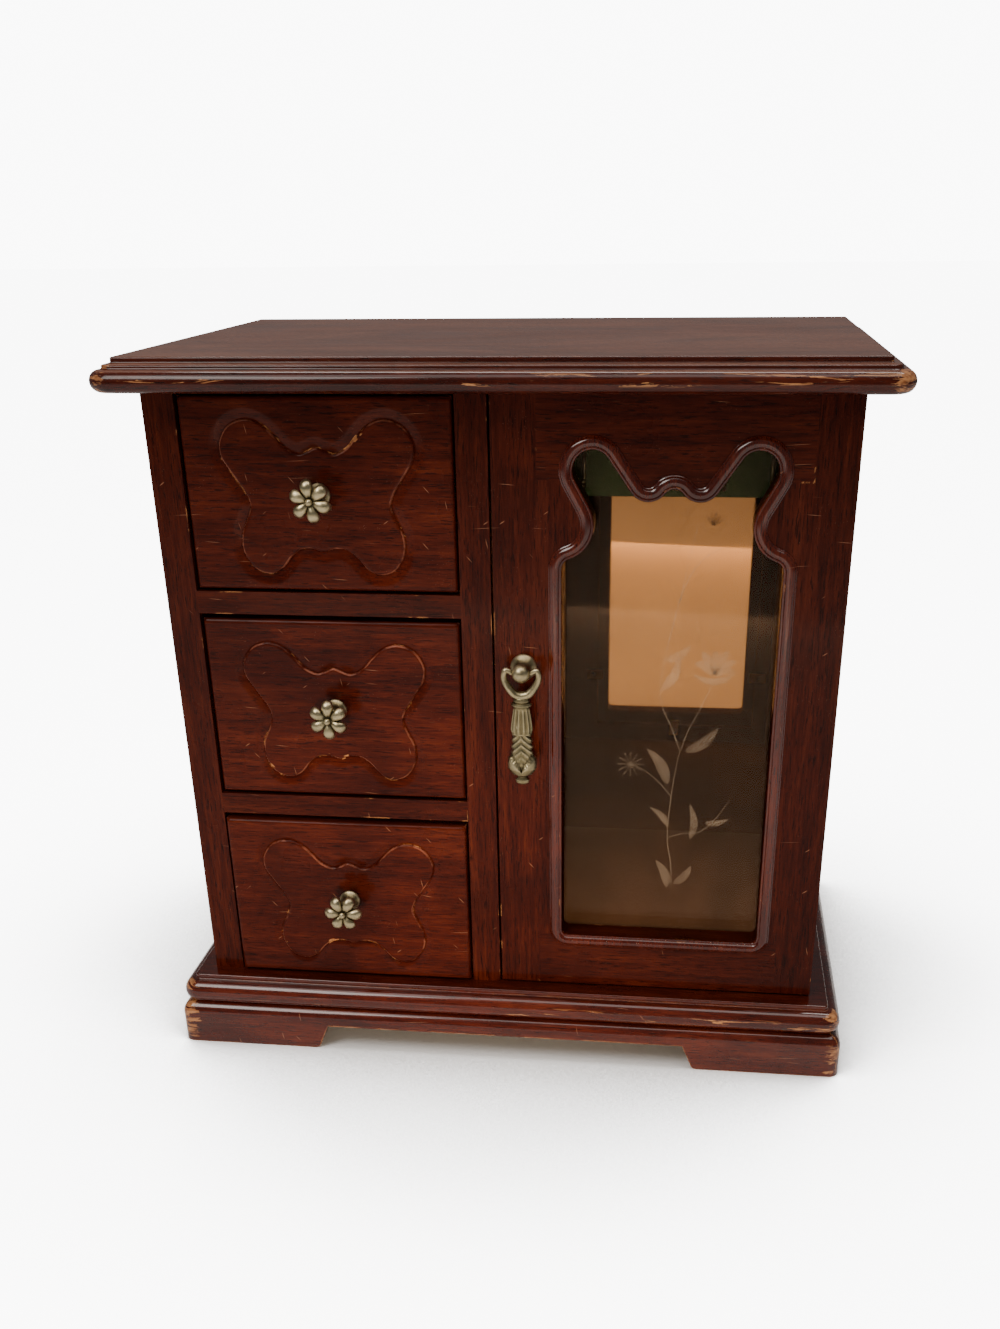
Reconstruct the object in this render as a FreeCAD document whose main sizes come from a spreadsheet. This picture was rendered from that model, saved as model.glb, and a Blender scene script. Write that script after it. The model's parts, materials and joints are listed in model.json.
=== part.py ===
"""Table-top jewelry armoire: three drawers on the left, a glazed door on the right.

Frame: +X right, +Y to the back, +Z up.  The origin is at the bottom centre of the whole
object.  Lengths are in millimetres.
"""
import FreeCAD, Part
import math
import os
import Sketcher

Vector = FreeCAD.Vector
UPRIGHT = FreeCAD.Rotation(Vector(1, 0, 0), 90)      # local Z points to the front (-Y)
ALONG_X = FreeCAD.Rotation(Vector(0, 1, 0), 90)      # local Z points to the right (+X)
LEVEL = FreeCAD.Rotation()

doc = FreeCAD.newDocument("jewelry_armoire")
sheet = doc.addObject("Spreadsheet::Sheet", "sizes")
nodes = []


# ---------------------------------------------------------------- driving dimensions

class Size:
    """A length that knows both its value and the spreadsheet formula that gives it."""

    def __init__(self, value, formula=None):
        self.value = float(value)
        self.formula = formula or repr(float(value))

    def __add__(self, other):
        other = as_size(other)
        return Size(self.value + other.value, f"({self.formula} + {other.formula})")

    def __sub__(self, other):
        other = as_size(other)
        return Size(self.value - other.value, f"({self.formula} - {other.formula})")

    def __mul__(self, factor):
        return Size(self.value * factor, f"({self.formula} * {factor})")

    def __truediv__(self, divisor):
        return Size(self.value / divisor, f"({self.formula} / {divisor})")

    def __neg__(self):
        return Size(-self.value, f"(0 - {self.formula})")

    def __radd__(self, other):
        return as_size(other) + self

    def __rsub__(self, other):
        return as_size(other) - self


def as_size(number):
    return number if isinstance(number, Size) else Size(number)


def dimension(alias, value):
    """Put one driving dimension in the sheet."""
    dimension.row += 1
    sheet.set(f"A{dimension.row}", alias)
    sheet.set(f"B{dimension.row}", str(value))
    sheet.setAlias(f"B{dimension.row}", alias)
    return Size(value, f"sizes.{alias}")


dimension.row = 0

# case
case_width = dimension("case_width", 252)
case_depth = dimension("case_depth", 158)
case_floor = dimension("case_floor", 30)
case_top = dimension("case_top", 264.7)
side_thickness = dimension("side_thickness", 9)
frame_depth = dimension("frame_depth", 12)
left_stile_width = dimension("left_stile_width", 11.9)
centre_stile_left = dimension("centre_stile_left", -13.6)
centre_stile_width = dimension("centre_stile_width", 11.4)
partition_thickness = dimension("partition_thickness", 8)
partition_right = dimension("partition_right", -3.9)
floor_thickness = dimension("floor_thickness", 7)
back_front = dimension("back_front", 150)
back_thickness = dimension("back_thickness", 5)
rail_height = dimension("rail_height", 8.5)
lower_rail_bottom = dimension("lower_rail_bottom", 103)
upper_rail_bottom = dimension("upper_rail_bottom", 185)
runner_width = dimension("runner_width", 9.5)
runner_height = dimension("runner_height", 6)

# moulded top, base and plinth
back_reach = dimension("back_reach", 170)
slab_overhang = dimension("slab_overhang", 14.7)
slab_round_height = dimension("slab_round_height", 7.4)
slab_ledge_height = dimension("slab_ledge_height", 8.8)
slab_ledge_inset = dimension("slab_ledge_inset", 5)
slab_flat_inset = dimension("slab_flat_inset", 8)
slab_height = dimension("slab_height", 11.4)
slab_corner_radius = dimension("slab_corner_radius", 9)
slab_edge_radius = dimension("slab_edge_radius", 3.6)
base_overhang = dimension("base_overhang", 12.5)
base_step_overhang = dimension("base_step_overhang", 7.3)
base_round_height = dimension("base_round_height", 9.5)
base_corner_radius = dimension("base_corner_radius", 7)
base_edge_radius = dimension("base_edge_radius", 4.5)
plinth_overhang = dimension("plinth_overhang", 13.3)
plinth_height = dimension("plinth_height", 18.5)
plinth_thickness = dimension("plinth_thickness", 17)
plinth_corner_radius = dimension("plinth_corner_radius", 4)
plinth_edge_radius = dimension("plinth_edge_radius", 5)
foot_gap_height = dimension("foot_gap_height", 11)
foot_gap_half_width = dimension("foot_gap_half_width", 75)
foot_gap_flare = dimension("foot_gap_flare", 6.5)
foot_toe_radius = dimension("foot_toe_radius", 3)
foot_toe_run = dimension("foot_toe_run", 2.95)
foot_toe_rise = dimension("foot_toe_rise", 2.5)
side_foot_length = dimension("side_foot_length", 52)

# drawers
reveal = dimension("reveal", 1)
top_gap = dimension("top_gap", 2)
front_thickness = dimension("front_thickness", 10)
front_chamfer = dimension("front_chamfer", 1.2)
drawer_ajar = dimension("drawer_ajar", 2)
drawer_box_depth = dimension("drawer_box_depth", 136)
drawer_wall = dimension("drawer_wall", 5)
drawer_inset = dimension("drawer_inset", 0.6)
drawer_lift = dimension("drawer_lift", 0.4)
drawer_headroom = dimension("drawer_headroom", 10)
drawer_bottom_thickness = dimension("drawer_bottom_thickness", 3)
drawer_bottom_rise = dimension("drawer_bottom_rise", 2.5)
felt_thickness = dimension("felt_thickness", 1)

# knobs
knob_reach = dimension("knob_reach", 15.5)
knob_radius = dimension("knob_radius", 7.8)
petal_length = dimension("petal_length", 2.7)
petal_width = dimension("petal_width", 2.1)
petal_thickness = dimension("petal_thickness", 1.65)
knob_flange_radius = dimension("knob_flange_radius", 4.2)
knob_neck_radius = dimension("knob_neck_radius", 2.9)
knob_neck_flare = dimension("knob_neck_flare", 1)
knob_boss_radius = dimension("knob_boss_radius", 1.4)
knob_screw_radius = dimension("knob_screw_radius", 1.6)
knob_screw_head_radius = dimension("knob_screw_head_radius", 3.4)
knob_screw_head_height = dimension("knob_screw_head_height", 2)

# door
door_left = dimension("door_left", -1.3)
door_bottom = dimension("door_bottom", 31)
door_top = dimension("door_top", 264.2)
door_thickness = dimension("door_thickness", 12)
door_back_gap = dimension("door_back_gap", 2.4)
door_stile_width = dimension("door_stile_width", 16.1)
window_axis = dimension("window_axis", 63.3)
window_bottom = dimension("window_bottom", 54)
window_half_width = dimension("window_half_width", 39.5)
window_corner_radius = dimension("window_corner_radius", 2.5)
stile_shoulder_width = dimension("stile_shoulder_width", 12.5)
top_joint_height = dimension("top_joint_height", 235)
glass_depth = dimension("glass_depth", 9.4)
glass_thickness = dimension("glass_thickness", 2)
rebate_half_width = dimension("rebate_half_width", 45.5)
rebate_bottom = dimension("rebate_bottom", 47)
rebate_top = dimension("rebate_top", 251)
glass_clearance = dimension("glass_clearance", 0.3)
bead_width = dimension("bead_width", 4.9)
bead_height = dimension("bead_height", 1.8)
clip_length = dimension("clip_length", 9)
clip_width = dimension("clip_width", 5)
clip_thickness = dimension("clip_thickness", 0.8)
clip_lap = dimension("clip_lap", 3)
clip_low = dimension("clip_low", 30)
clip_high = dimension("clip_high", 40)
clip_screw_offset = dimension("clip_screw_offset", 1.8)
clip_screw_head_radius = dimension("clip_screw_head_radius", 1.8)
clip_screw_head_height = dimension("clip_screw_head_height", 0.8)
clip_screw_radius = dimension("clip_screw_radius", 0.8)
clip_screw_bite = dimension("clip_screw_bite", 5)
strike_width = dimension("strike_width", 10)
strike_height = dimension("strike_height", 9)
strike_inset = dimension("strike_inset", 4)
strike_drop = dimension("strike_drop", 3)
pivot_inset = dimension("pivot_inset", 5.5)
pivot_depth = dimension("pivot_depth", 6.5)
pivot_radius = dimension("pivot_radius", 1.5)
pivot_clearance = dimension("pivot_clearance", 0.05)
pivot_insertion = dimension("pivot_insertion", 6)
bush_radius = dimension("bush_radius", 2.6)
bush_length = dimension("bush_length", 7)

# drop pull
pull_axis = dimension("pull_axis", 9.6)
pull_pivot_height = dimension("pull_pivot_height", 167.2)
pull_pivot_reach = dimension("pull_pivot_reach", 8.5)
pull_pin_radius = dimension("pull_pin_radius", 0.9)
pull_pin_clearance = dimension("pull_pin_clearance", 0.06)
rose_radius = dimension("rose_radius", 5)
rose_height = dimension("rose_height", 2.4)
stem_radius = dimension("stem_radius", 2.6)
stem_tail = dimension("stem_tail", 5)
ball_radius = dimension("ball_radius", 3.5)
bail_radius = dimension("bail_radius", 5.9)
bail_wire_radius = dimension("bail_wire_radius", 1.1)
pendant_top = dimension("pendant_top", 6.2)
pendant_top_radius = dimension("pendant_top_radius", 2.6)

# compartment
mirror_front = dimension("mirror_front", 144)
mirror_thickness = dimension("mirror_thickness", 3)
mirror_top = dimension("mirror_top", 203)
hook_height = dimension("hook_height", 222)
hook_spacing = dimension("hook_spacing", 20.8)
hook_wire_radius = dimension("hook_wire_radius", 0.9)
hook_bend = dimension("hook_bend", 3.4)
hook_insertion = dimension("hook_insertion", 4)
hook_tip_radius = dimension("hook_tip_radius", 1.3)
hook_row_shift = dimension("hook_row_shift", 5.5)
magnet_width = dimension("magnet_width", 14)
magnet_depth = dimension("magnet_depth", 10)
magnet_height = dimension("magnet_height", 9)
magnet_inset = dimension("magnet_inset", 4)
magnet_proud = dimension("magnet_proud", 1)

# the right half of the window's head, from the straight side to the middle: each point's
# distance from the axis and height, and the radius and turn of the arc after it, where a
# turn of 0 is a straight line
window_head = []
for place_name, off_axis, height, radius, turn in (
        ("shoulder", window_half_width, 203.8, 4.1, 1),
        ("neck", 36.66, 207.7, 12.5, -1),
        ("neck_top", 29.6, 225.72, 0, 0),
        ("lobe_side", 34.86, 235.1, 6.95, 1),
        ("lobe_top", 28.8, 245.45, 6.95, 1),
        ("lobe_inside", 23.12, 242.5, 0, 0),
        ("dip", 15.05, 231.04, 7.4, -1),
        ("crest", 3.13, 230.8, 3.94, 1)):
    if place_name != "shoulder":
        off_axis = dimension(f"window_{place_name}_offset", off_axis)
    height = dimension(f"window_{place_name}_height", height)
    if turn:
        radius = dimension(f"window_{place_name}_radius", radius)
    window_head.append((off_axis, height, radius, turn))
window_cusp_height = dimension("window_cusp_height", 232.34)
head_pendant_half_width = dimension("head_pendant_half_width", 20.5)
head_pendant_bottom = dimension("head_pendant_bottom", 226)

# each length of the drop pull's pendant: how far below the pivot it ends, and its radius there
pendant = [(label, dimension(f"pull_{label}_end", depth), dimension(f"pull_{label}_radius", radius))
           for label, depth, radius in (("collar", 12, 3.9), ("collar_lip", 13, 3), ("flutes", 23.4, 3.9),
                                        ("chevrons", 32.4, 4.1), ("cup", 36.6, 5.4),
                                        ("cup_foot", 40.2, 2.2), ("finial", 43.8, 1.8))]

half_case = case_width / 2
# depth of the front plane of the stiles, which centres the whole object on the origin
front = (knob_reach + drawer_ajar - back_reach) / 2
back = front + back_reach
case_back = front + case_depth
frame_back = front + frame_depth
panel_front = front + door_thickness + door_back_gap
inside_left = side_thickness - half_case
inside_right = half_case - side_thickness
drawer_left = left_stile_width - half_case
drawer_right = centre_stile_left
drawer_axis = (drawer_left + drawer_right) / 2
partition_left = partition_right - partition_thickness
floor_top = case_floor + floor_thickness


# ---------------------------------------------------------------- building helpers

def bind(item, name, amount):
    """Tie one property of a document object to the sheet."""
    item.setExpression(name, as_size(amount).formula)


def place(item, corner, rotation=LEVEL):
    corner = [as_size(value) for value in corner]
    item.Placement = FreeCAD.Placement(Vector(*[value.value for value in corner]), rotation)
    for axis, value in zip("xyz", corner):
        bind(item, f"Placement.Base.{axis}", value)


def part(kind, label):
    item = doc.addObject(kind, label)
    item.Label = label
    return item


def box(label, x_range, y_range, z_range):
    """A block between two values along each axis."""
    item = part("Part::Box", label)
    for name, (low, high) in zip(("Length", "Width", "Height"), (x_range, y_range, z_range)):
        bind(item, name, as_size(high) - low)
    place(item, (x_range[0], y_range[0], z_range[0]))
    return item


def cylinder(label, start, length, radius, rotation=LEVEL):
    item = part("Part::Cylinder", label)
    bind(item, "Radius", radius)
    bind(item, "Height", length)
    place(item, start, rotation)
    return item


def sphere(label, centre, radius):
    item = part("Part::Sphere", label)
    bind(item, "Radius", radius)
    place(item, centre)
    return item


def cone(label, start, length, radius, end_radius, rotation=LEVEL):
    item = part("Part::Cone", label)
    bind(item, "Radius1", radius)
    bind(item, "Radius2", end_radius)
    bind(item, "Height", length)
    place(item, start, rotation)
    return item


def fuse(label, *items):
    item = part("Part::MultiFuse", label)
    item.Shapes = list(items)
    return item


def group(label, *items):
    """Several equal loose solids that share one sub-part."""
    item = part("Part::Compound", label)
    item.Links = list(items)
    return item


def cut(label, base, *tools):
    """Take one tool, or several in turn, out of a base."""
    for number, tool in enumerate(tools):
        last = number == len(tools) - 1
        item = part("Part::Cut", label if last else f"{label}_cut_{number + 1}")
        item.Base = base
        item.Tool = tool
        base = item
    return base


def node(item):
    """Mark a document object as a finished sub-part."""
    nodes.append(item)
    return item


def arc_between(start, end, radius, turn):
    """The centre of a short arc that turns left (+1) or right (-1) from start to end."""
    chord = end - start
    rise = math.sqrt(radius ** 2 - (chord.Length / 2) ** 2)
    sideways = Vector(-chord.y, chord.x, 0) / chord.Length
    return start + chord / 2 + sideways * rise * turn


def draw_outline(sketch, corners, bends=None):
    """Draw a closed outline through bound corners.

    bends maps the number of a corner to (radius, turn) where the stretch that leaves it is
    an arc and not a straight line.
    """
    bends = bends or {}
    spots = [Vector(as_size(x).value, as_size(y).value, 0) for x, y in corners]
    ends = []
    for number, start in enumerate(spots):
        end = spots[(number + 1) % len(spots)]
        if number not in bends:
            sketch.addGeometry(Part.LineSegment(start, end), False)
            ends.append((1, 2))
            continue
        radius, turn = bends[number]
        centre = arc_between(start, end, radius.value, turn)
        first, last = (start, end) if turn > 0 else (end, start)
        angles = [math.atan2(spot.y - centre.y, spot.x - centre.x) for spot in (first, last)]
        circle = Part.Circle(centre, Vector(0, 0, 1), radius.value)
        sketch.addGeometry(Part.ArcOfCircle(circle, *angles), False)
        ends.append((1, 2) if turn > 0 else (2, 1))
    for number in range(len(spots)):
        following = (number + 1) % len(spots)
        sketch.addConstraint(
            Sketcher.Constraint("Coincident", number, ends[number][1], following, ends[following][0]))
    for number, (x, y) in enumerate(corners):
        for kind, amount in (("DistanceX", as_size(x)), ("DistanceY", as_size(y))):
            made = sketch.addConstraint(
                Sketcher.Constraint(kind, -1, 1, number, ends[number][0], amount.value))
            bind(sketch, f"Constraints[{made}]", amount)
    for number, (radius, _) in bends.items():
        made = sketch.addConstraint(Sketcher.Constraint("Radius", number, radius.value))
        bind(sketch, f"Constraints[{made}]", radius)


def body_pad(label, corners, height, place_at, rotation=LEVEL):
    """A PartDesign body with one padded outline, drawn in the body's own XY plane."""
    body = part("PartDesign::Body", label)
    sketch = body.newObject("Sketcher::SketchObject", f"{label}_outline")
    plane = [item for item in body.Origin.OriginFeatures if item.Role == "XY_Plane"][0]
    sketch.AttachmentSupport = [(plane, "")]
    sketch.MapMode = "FlatFace"
    draw_outline(sketch, corners)
    pad = body.newObject("PartDesign::Pad", f"{label}_pad")
    pad.Profile = sketch
    bind(pad, "Length", height)
    place(body, place_at, rotation)
    doc.recompute()
    return body


def dress(body, kind, prop, amount, wanted):
    """Round or chamfer the edges of a body's tip whose middle passes the wanted test."""
    base = body.Tip
    names = []
    for number, edge in enumerate(base.Shape.Edges, start=1):
        middle = edge.valueAt((edge.FirstParameter + edge.LastParameter) / 2)
        if wanted(middle, edge):
            names.append(f"Edge{number}")
    feature = body.newObject(f"PartDesign::{kind}", f"{body.Label}_{kind.lower()}")
    feature.Base = (base, names)
    bind(feature, prop, amount)
    body.Tip = feature
    doc.recompute()
    return feature


def rectangle(half_width, depth):
    return [(-half_width, 0), (half_width, 0), (half_width, depth), (-half_width, depth)]


def moulded_layer(label, overhang, bottom, height, corner_radius, edge_radius=None):
    """One layer of a moulded board: square at the back, rounded at the front corners."""
    half_width = half_case + overhang
    depth = back_reach + overhang
    layer = body_pad(label, rectangle(half_width, depth), height, (0, front - overhang, bottom))
    dress(layer, "Fillet", "Radius", corner_radius,
          lambda middle, edge: abs(middle.y) < 0.01 and abs(middle.z - height.value / 2) < 0.01)
    if edge_radius:
        dress(layer, "Fillet", "Radius", edge_radius,
              lambda middle, edge: abs(middle.z - height.value / 2) > height.value / 2 - 0.01
              and middle.y < depth.value - 0.01)
    return layer


# ---------------------------------------------------------------- case

def make_pivots():
    """Steel pins pressed into the top and the base, on which the door turns."""
    x = half_case - pivot_inset
    y = front + pivot_depth
    lower = cylinder("lower_pivot_pin", (x, y, case_floor - pivot_insertion),
                     pivot_insertion * 2 + reveal, pivot_radius)
    upper = cylinder("upper_pivot_pin", (x, y, door_top - pivot_insertion),
                     pivot_insertion * 2 + (case_top - door_top), pivot_radius)
    return node(group("door_pivot_pins", lower, upper))


def make_moulded_boards(pivots):
    round_layer = moulded_layer("top_round_layer", slab_overhang, case_top, slab_round_height,
                                slab_corner_radius, slab_edge_radius)
    ledge_layer = moulded_layer("top_ledge_layer", slab_overhang - slab_ledge_inset, case_top,
                                slab_ledge_height, slab_corner_radius - slab_ledge_inset)
    flat_layer = moulded_layer("top_flat_layer", slab_overhang - slab_flat_inset, case_top,
                               slab_height, slab_corner_radius - slab_flat_inset)
    node(cut("top_board", fuse("top_board_layers", round_layer, ledge_layer, flat_layer), pivots))

    round_layer = moulded_layer("base_round_layer", base_overhang, plinth_height,
                                base_round_height, base_corner_radius, base_edge_radius)
    step_layer = moulded_layer("base_step_layer", base_step_overhang, plinth_height,
                               case_floor - plinth_height,
                               base_corner_radius - (base_overhang - base_step_overhang))
    node(cut("base_board", fuse("base_board_layers", round_layer, step_layer), pivots))


def make_plinth():
    """A mitred ring of four rails, cut away below to leave bracket feet."""
    half_width = half_case + plinth_overhang
    front_face = front - plinth_overhang
    depth = back_reach + plinth_overhang
    ring = body_pad("plinth_ring", rectangle(half_width, depth), plinth_height,
                    (0, front_face, 0))
    dress(ring, "Fillet", "Radius", plinth_corner_radius,
          lambda middle, edge: abs(middle.y) < 0.01
          and abs(middle.z - plinth_height.value / 2) < 0.01)
    dress(ring, "Fillet", "Radius", plinth_edge_radius,
          lambda middle, edge: middle.z > plinth_height.value - 0.01
          and middle.y < depth.value - 0.01)
    hollow = box("plinth_hollow",
                 (plinth_thickness - half_width, half_width - plinth_thickness),
                 (front_face + plinth_thickness, back - plinth_thickness),
                 (-reveal, plinth_height + reveal))

    def foot_gap(label, half_gap):
        """The opening between two feet, whose sides slope out and round over at the floor."""
        foot = half_gap + foot_gap_flare
        sketch = part("Sketcher::SketchObject", f"{label}_outline")
        toe = foot - foot_toe_run
        draw_outline(sketch, [(-foot, -reveal), (foot, -reveal), (foot, 0), (toe, foot_toe_rise),
                              (half_gap, foot_gap_height), (-half_gap, foot_gap_height),
                              (-toe, foot_toe_rise), (-foot, 0)],
                     {2: (foot_toe_radius, -1), 6: (foot_toe_radius, -1)})
        return sketch

    front_gap_outline = foot_gap("front_foot_gap", foot_gap_half_width)
    place(front_gap_outline, (0, back + reveal, 0), UPRIGHT)
    front_gap = part("Part::Extrusion", "front_foot_gap")
    front_gap.Base = front_gap_outline
    front_gap.DirMode = "Custom"
    front_gap.Dir = Vector(0, -1, 0)
    front_gap.Solid = True
    bind(front_gap, "LengthFwd", depth + reveal * 2)

    side_gap_outline = foot_gap("side_foot_gap", depth / 2 - side_foot_length)
    place(side_gap_outline, (-half_width - reveal, front_face + depth / 2, 0),
          FreeCAD.Rotation(Vector(0, 0, 1), 90) * UPRIGHT)
    side_gap = part("Part::Extrusion", "side_foot_gap")
    side_gap.Base = side_gap_outline
    side_gap.DirMode = "Custom"
    side_gap.Dir = Vector(1, 0, 0)
    side_gap.Solid = True
    bind(side_gap, "LengthFwd", half_width * 2 + reveal * 2)

    frame = cut("plinth_frame", ring, hollow, front_gap, side_gap)
    inner_x = half_width - plinth_thickness
    inner_front = front_face + plinth_thickness
    inner_back = back - plinth_thickness
    wedges = {
        "plinth_front": [(-half_width, front_face), (half_width, front_face),
                         (inner_x, inner_front), (-inner_x, inner_front)],
        "plinth_right": [(half_width, front_face), (half_width, back),
                         (inner_x, inner_back), (inner_x, inner_front)],
        "plinth_back": [(half_width, back), (-half_width, back),
                        (-inner_x, inner_back), (inner_x, inner_back)],
        "plinth_left": [(-half_width, back), (-half_width, front_face),
                        (-inner_x, inner_front), (-inner_x, inner_back)],
    }
    for label, corners in wedges.items():
        wedge = body_pad(f"{label}_wedge", corners, plinth_height, (0, 0, 0))
        rail = part("Part::Common", label)
        rail.Base = frame
        rail.Tool = wedge
        node(rail)


def make_case():
    node(box("left_side_panel", (-half_case, inside_left), (frame_back, case_back),
             (case_floor, case_top)))
    node(box("right_side_panel", (inside_right, half_case), (panel_front, case_back),
             (case_floor, case_top)))
    node(box("left_front_stile", (-half_case, drawer_left), (front, frame_back),
             (case_floor, case_top)))
    node(box("centre_front_stile", (centre_stile_left, centre_stile_left + centre_stile_width),
             (front, frame_back), (case_floor, case_top)))
    node(box("floor_board", (inside_left, inside_right), (panel_front, front + back_front),
             (case_floor, floor_top)))
    node(box("back_panel", (inside_left, inside_right),
             (front + back_front, front + back_front + back_thickness), (case_floor, case_top)))
    node(box("centre_partition", (partition_left, partition_right),
             (frame_back, front + back_front), (floor_top, case_top)))
    node(box("lower_drawer_rail", (drawer_left, drawer_right), (front, frame_back),
             (lower_rail_bottom, lower_rail_bottom + rail_height)))
    node(box("upper_drawer_rail", (drawer_left, drawer_right), (front, frame_back),
             (upper_rail_bottom, upper_rail_bottom + rail_height)))
    runners = []
    for level, bottom in (("lower", lower_rail_bottom), ("upper", upper_rail_bottom)):
        top = bottom + rail_height
        for side, x_range in (("left", (inside_left, inside_left + runner_width)),
                              ("right", (partition_left - runner_width, partition_left))):
            runners.append(box(f"{level}_{side}_runner", x_range,
                               (frame_back, front + back_front), (top - runner_height, top)))
    node(group("drawer_runners", *runners))


# ---------------------------------------------------------------- drawers

def make_knob(name, height, front_face, turn):
    """A six-petalled flower knob on a waisted neck, and the screw that holds it."""
    flange_length = petal_width / 2
    head = cylinder(f"{name}_screw_head",
                    (drawer_axis, front_face + front_thickness + knob_screw_head_height, height),
                    knob_screw_head_height, knob_screw_head_radius, UPRIGHT)
    shank = cylinder(f"{name}_screw_shank", (drawer_axis, front_face + front_thickness, height),
                     front_thickness + knob_reach / 2, knob_screw_radius, UPRIGHT)
    screw = node(fuse(f"{name}_knob_screw", head, shank))

    disc_front = knob_reach - knob_boss_radius
    disc_back = disc_front - petal_width
    pieces = [
        cylinder(f"{name}_knob_flange", (drawer_axis, front_face, height), flange_length,
                 knob_flange_radius, UPRIGHT),
        cone(f"{name}_knob_neck", (drawer_axis, front_face - flange_length, height),
             disc_back - flange_length, knob_neck_radius, knob_neck_radius + knob_neck_flare,
             UPRIGHT),
        cylinder(f"{name}_knob_disc", (drawer_axis, front_face - disc_back, height),
                 petal_width, knob_radius - petal_length, UPRIGHT),
        sphere(f"{name}_knob_boss", (drawer_axis, front_face - disc_front, height),
               knob_boss_radius),
    ]
    petal_orbit = knob_radius - petal_length
    for number in range(6):
        angle = math.radians(turn + 60 * number)
        petal = part("Part::Ellipsoid", f"{name}_petal_{number + 1}")
        bind(petal, "Radius1", petal_thickness)
        bind(petal, "Radius2", petal_length)
        bind(petal, "Radius3", petal_width)
        place(petal, (drawer_axis + petal_orbit * math.cos(angle),
                      front_face - disc_front + petal_width / 2,
                      height + petal_orbit * math.sin(angle)),
              FreeCAD.Rotation(Vector(0, 1, 0), -turn - 60 * number) * UPRIGHT)
        pieces.append(petal)
    node(cut(f"{name}_knob", fuse(f"{name}_knob_casting", *pieces), screw))
    return screw


def make_drawer(name, opening_bottom, opening_top, floor_height, head_gap, ajar, turn):
    """One drawer: carved front, two sides, back, bottom, felt and knob."""
    front_face = front - ajar
    box_front = front_face + front_thickness
    box_back = box_front + drawer_box_depth
    height = (opening_bottom + opening_top) / 2
    screw = make_knob(name, height, front_face, turn)

    face_width = drawer_right - drawer_left - reveal * 2
    face_height = opening_top - opening_bottom - reveal - head_gap
    blank = body_pad(f"{name}_front_blank",
                     [(0, 0), (face_width, 0), (face_width, face_height), (0, face_height)],
                     front_thickness,
                     (drawer_left + reveal, box_front, opening_bottom + reveal), UPRIGHT)
    dress(blank, "Chamfer", "Size", front_chamfer,
          lambda middle, edge: middle.z > front_thickness.value - 0.01)
    node(cut(f"{name}_front", blank, screw))

    left = drawer_left + reveal + drawer_inset
    right = drawer_right - reveal - drawer_inset
    low = floor_height + drawer_lift
    high = opening_top - drawer_headroom
    node(box(f"{name}_left_side", (left, left + drawer_wall), (box_front, box_back), (low, high)))
    node(box(f"{name}_right_side", (right - drawer_wall, right), (box_front, box_back),
             (low, high)))
    inner = (left + drawer_wall, right - drawer_wall)
    node(box(f"{name}_back", inner, (box_back - drawer_wall, box_back), (low, high)))
    bottom = low + drawer_bottom_rise
    node(box(f"{name}_bottom", inner, (box_front, box_back - drawer_wall),
             (bottom, bottom + drawer_bottom_thickness)))
    felt = bottom + drawer_bottom_thickness
    node(box(f"{name}_felt", inner, (box_front, box_back - drawer_wall),
             (felt, felt + felt_thickness)))


# ---------------------------------------------------------------- door

def window_outline():
    """The scalloped window: two lobes with a small arch between them."""
    half = window_half_width
    corner = window_corner_radius
    sill = window_bottom
    corners = [(-half, sill + corner), (-half + corner, sill), (half - corner, sill),
               (half, sill + corner)]
    curved = {0: (corner, 1), 2: (corner, 1)}
    for x, z, radius, turn in window_head:
        if turn:
            curved[len(corners)] = (radius, turn)
        corners.append((x, z))
    corners.append((0, window_cusp_height))
    for x, z, radius, turn in reversed(window_head):
        if turn:
            curved[len(corners) - 1] = (radius, turn)
        corners.append((-x, z))
    sketch = part("Sketcher::SketchObject", "window_outline")
    draw_outline(sketch, corners, curved)
    place(sketch, (window_axis, front, 0), UPRIGHT)
    return sketch


def extrude_along_y(label, outline, direction, length):
    item = part("Part::Extrusion", label)
    item.Base = outline
    item.DirMode = "Custom"
    item.Dir = Vector(0, direction, 0)
    item.Solid = True
    bind(item, "LengthFwd", length)
    return item


def make_glass_clips(door_back):
    """Six brass tabs that hold the pane in its rebate, and their screws."""
    across = rebate_half_width + clip_length / 2 - clip_lap
    down = rebate_bottom - clip_length / 2 + clip_lap
    up = rebate_top + clip_length / 2 - clip_lap
    # each clip: its middle, its size along X and Z, and which way its screw is off the middle
    spots = [(window_axis + across * side, height, clip_length, clip_width, (side, 0))
             for side in (-1, 1) for height in (rebate_bottom + clip_low, rebate_top - clip_high)]
    spots += [(window_axis, height, clip_width, clip_length, (0, side))
              for side, height in ((-1, down), (1, up))]
    clips = []
    screws = []
    for number, (x, z, length, width, outward) in enumerate(spots, start=1):
        screw_x = x + clip_screw_offset * outward[0]
        screw_z = z + clip_screw_offset * outward[1]
        clips.append(box(f"clip_tab_{number}", (x - length / 2, x + length / 2),
                         (door_back, door_back + clip_thickness), (z - width / 2, z + width / 2)))
        head = cylinder(f"clip_screw_head_{number}",
                        (screw_x, door_back + clip_thickness + clip_screw_head_height, screw_z),
                        clip_screw_head_height, clip_screw_head_radius, UPRIGHT)
        shank = cylinder(f"clip_screw_shank_{number}",
                         (screw_x, door_back + clip_thickness, screw_z),
                         clip_thickness + clip_screw_bite, clip_screw_radius, UPRIGHT)
        screws.append(fuse(f"clip_screw_{number}", head, shank))
    screw_group = node(group("glass_clip_screws", *screws))
    node(cut("glass_clips", group("glass_clip_tabs", *clips), screw_group))
    return screw_group


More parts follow.
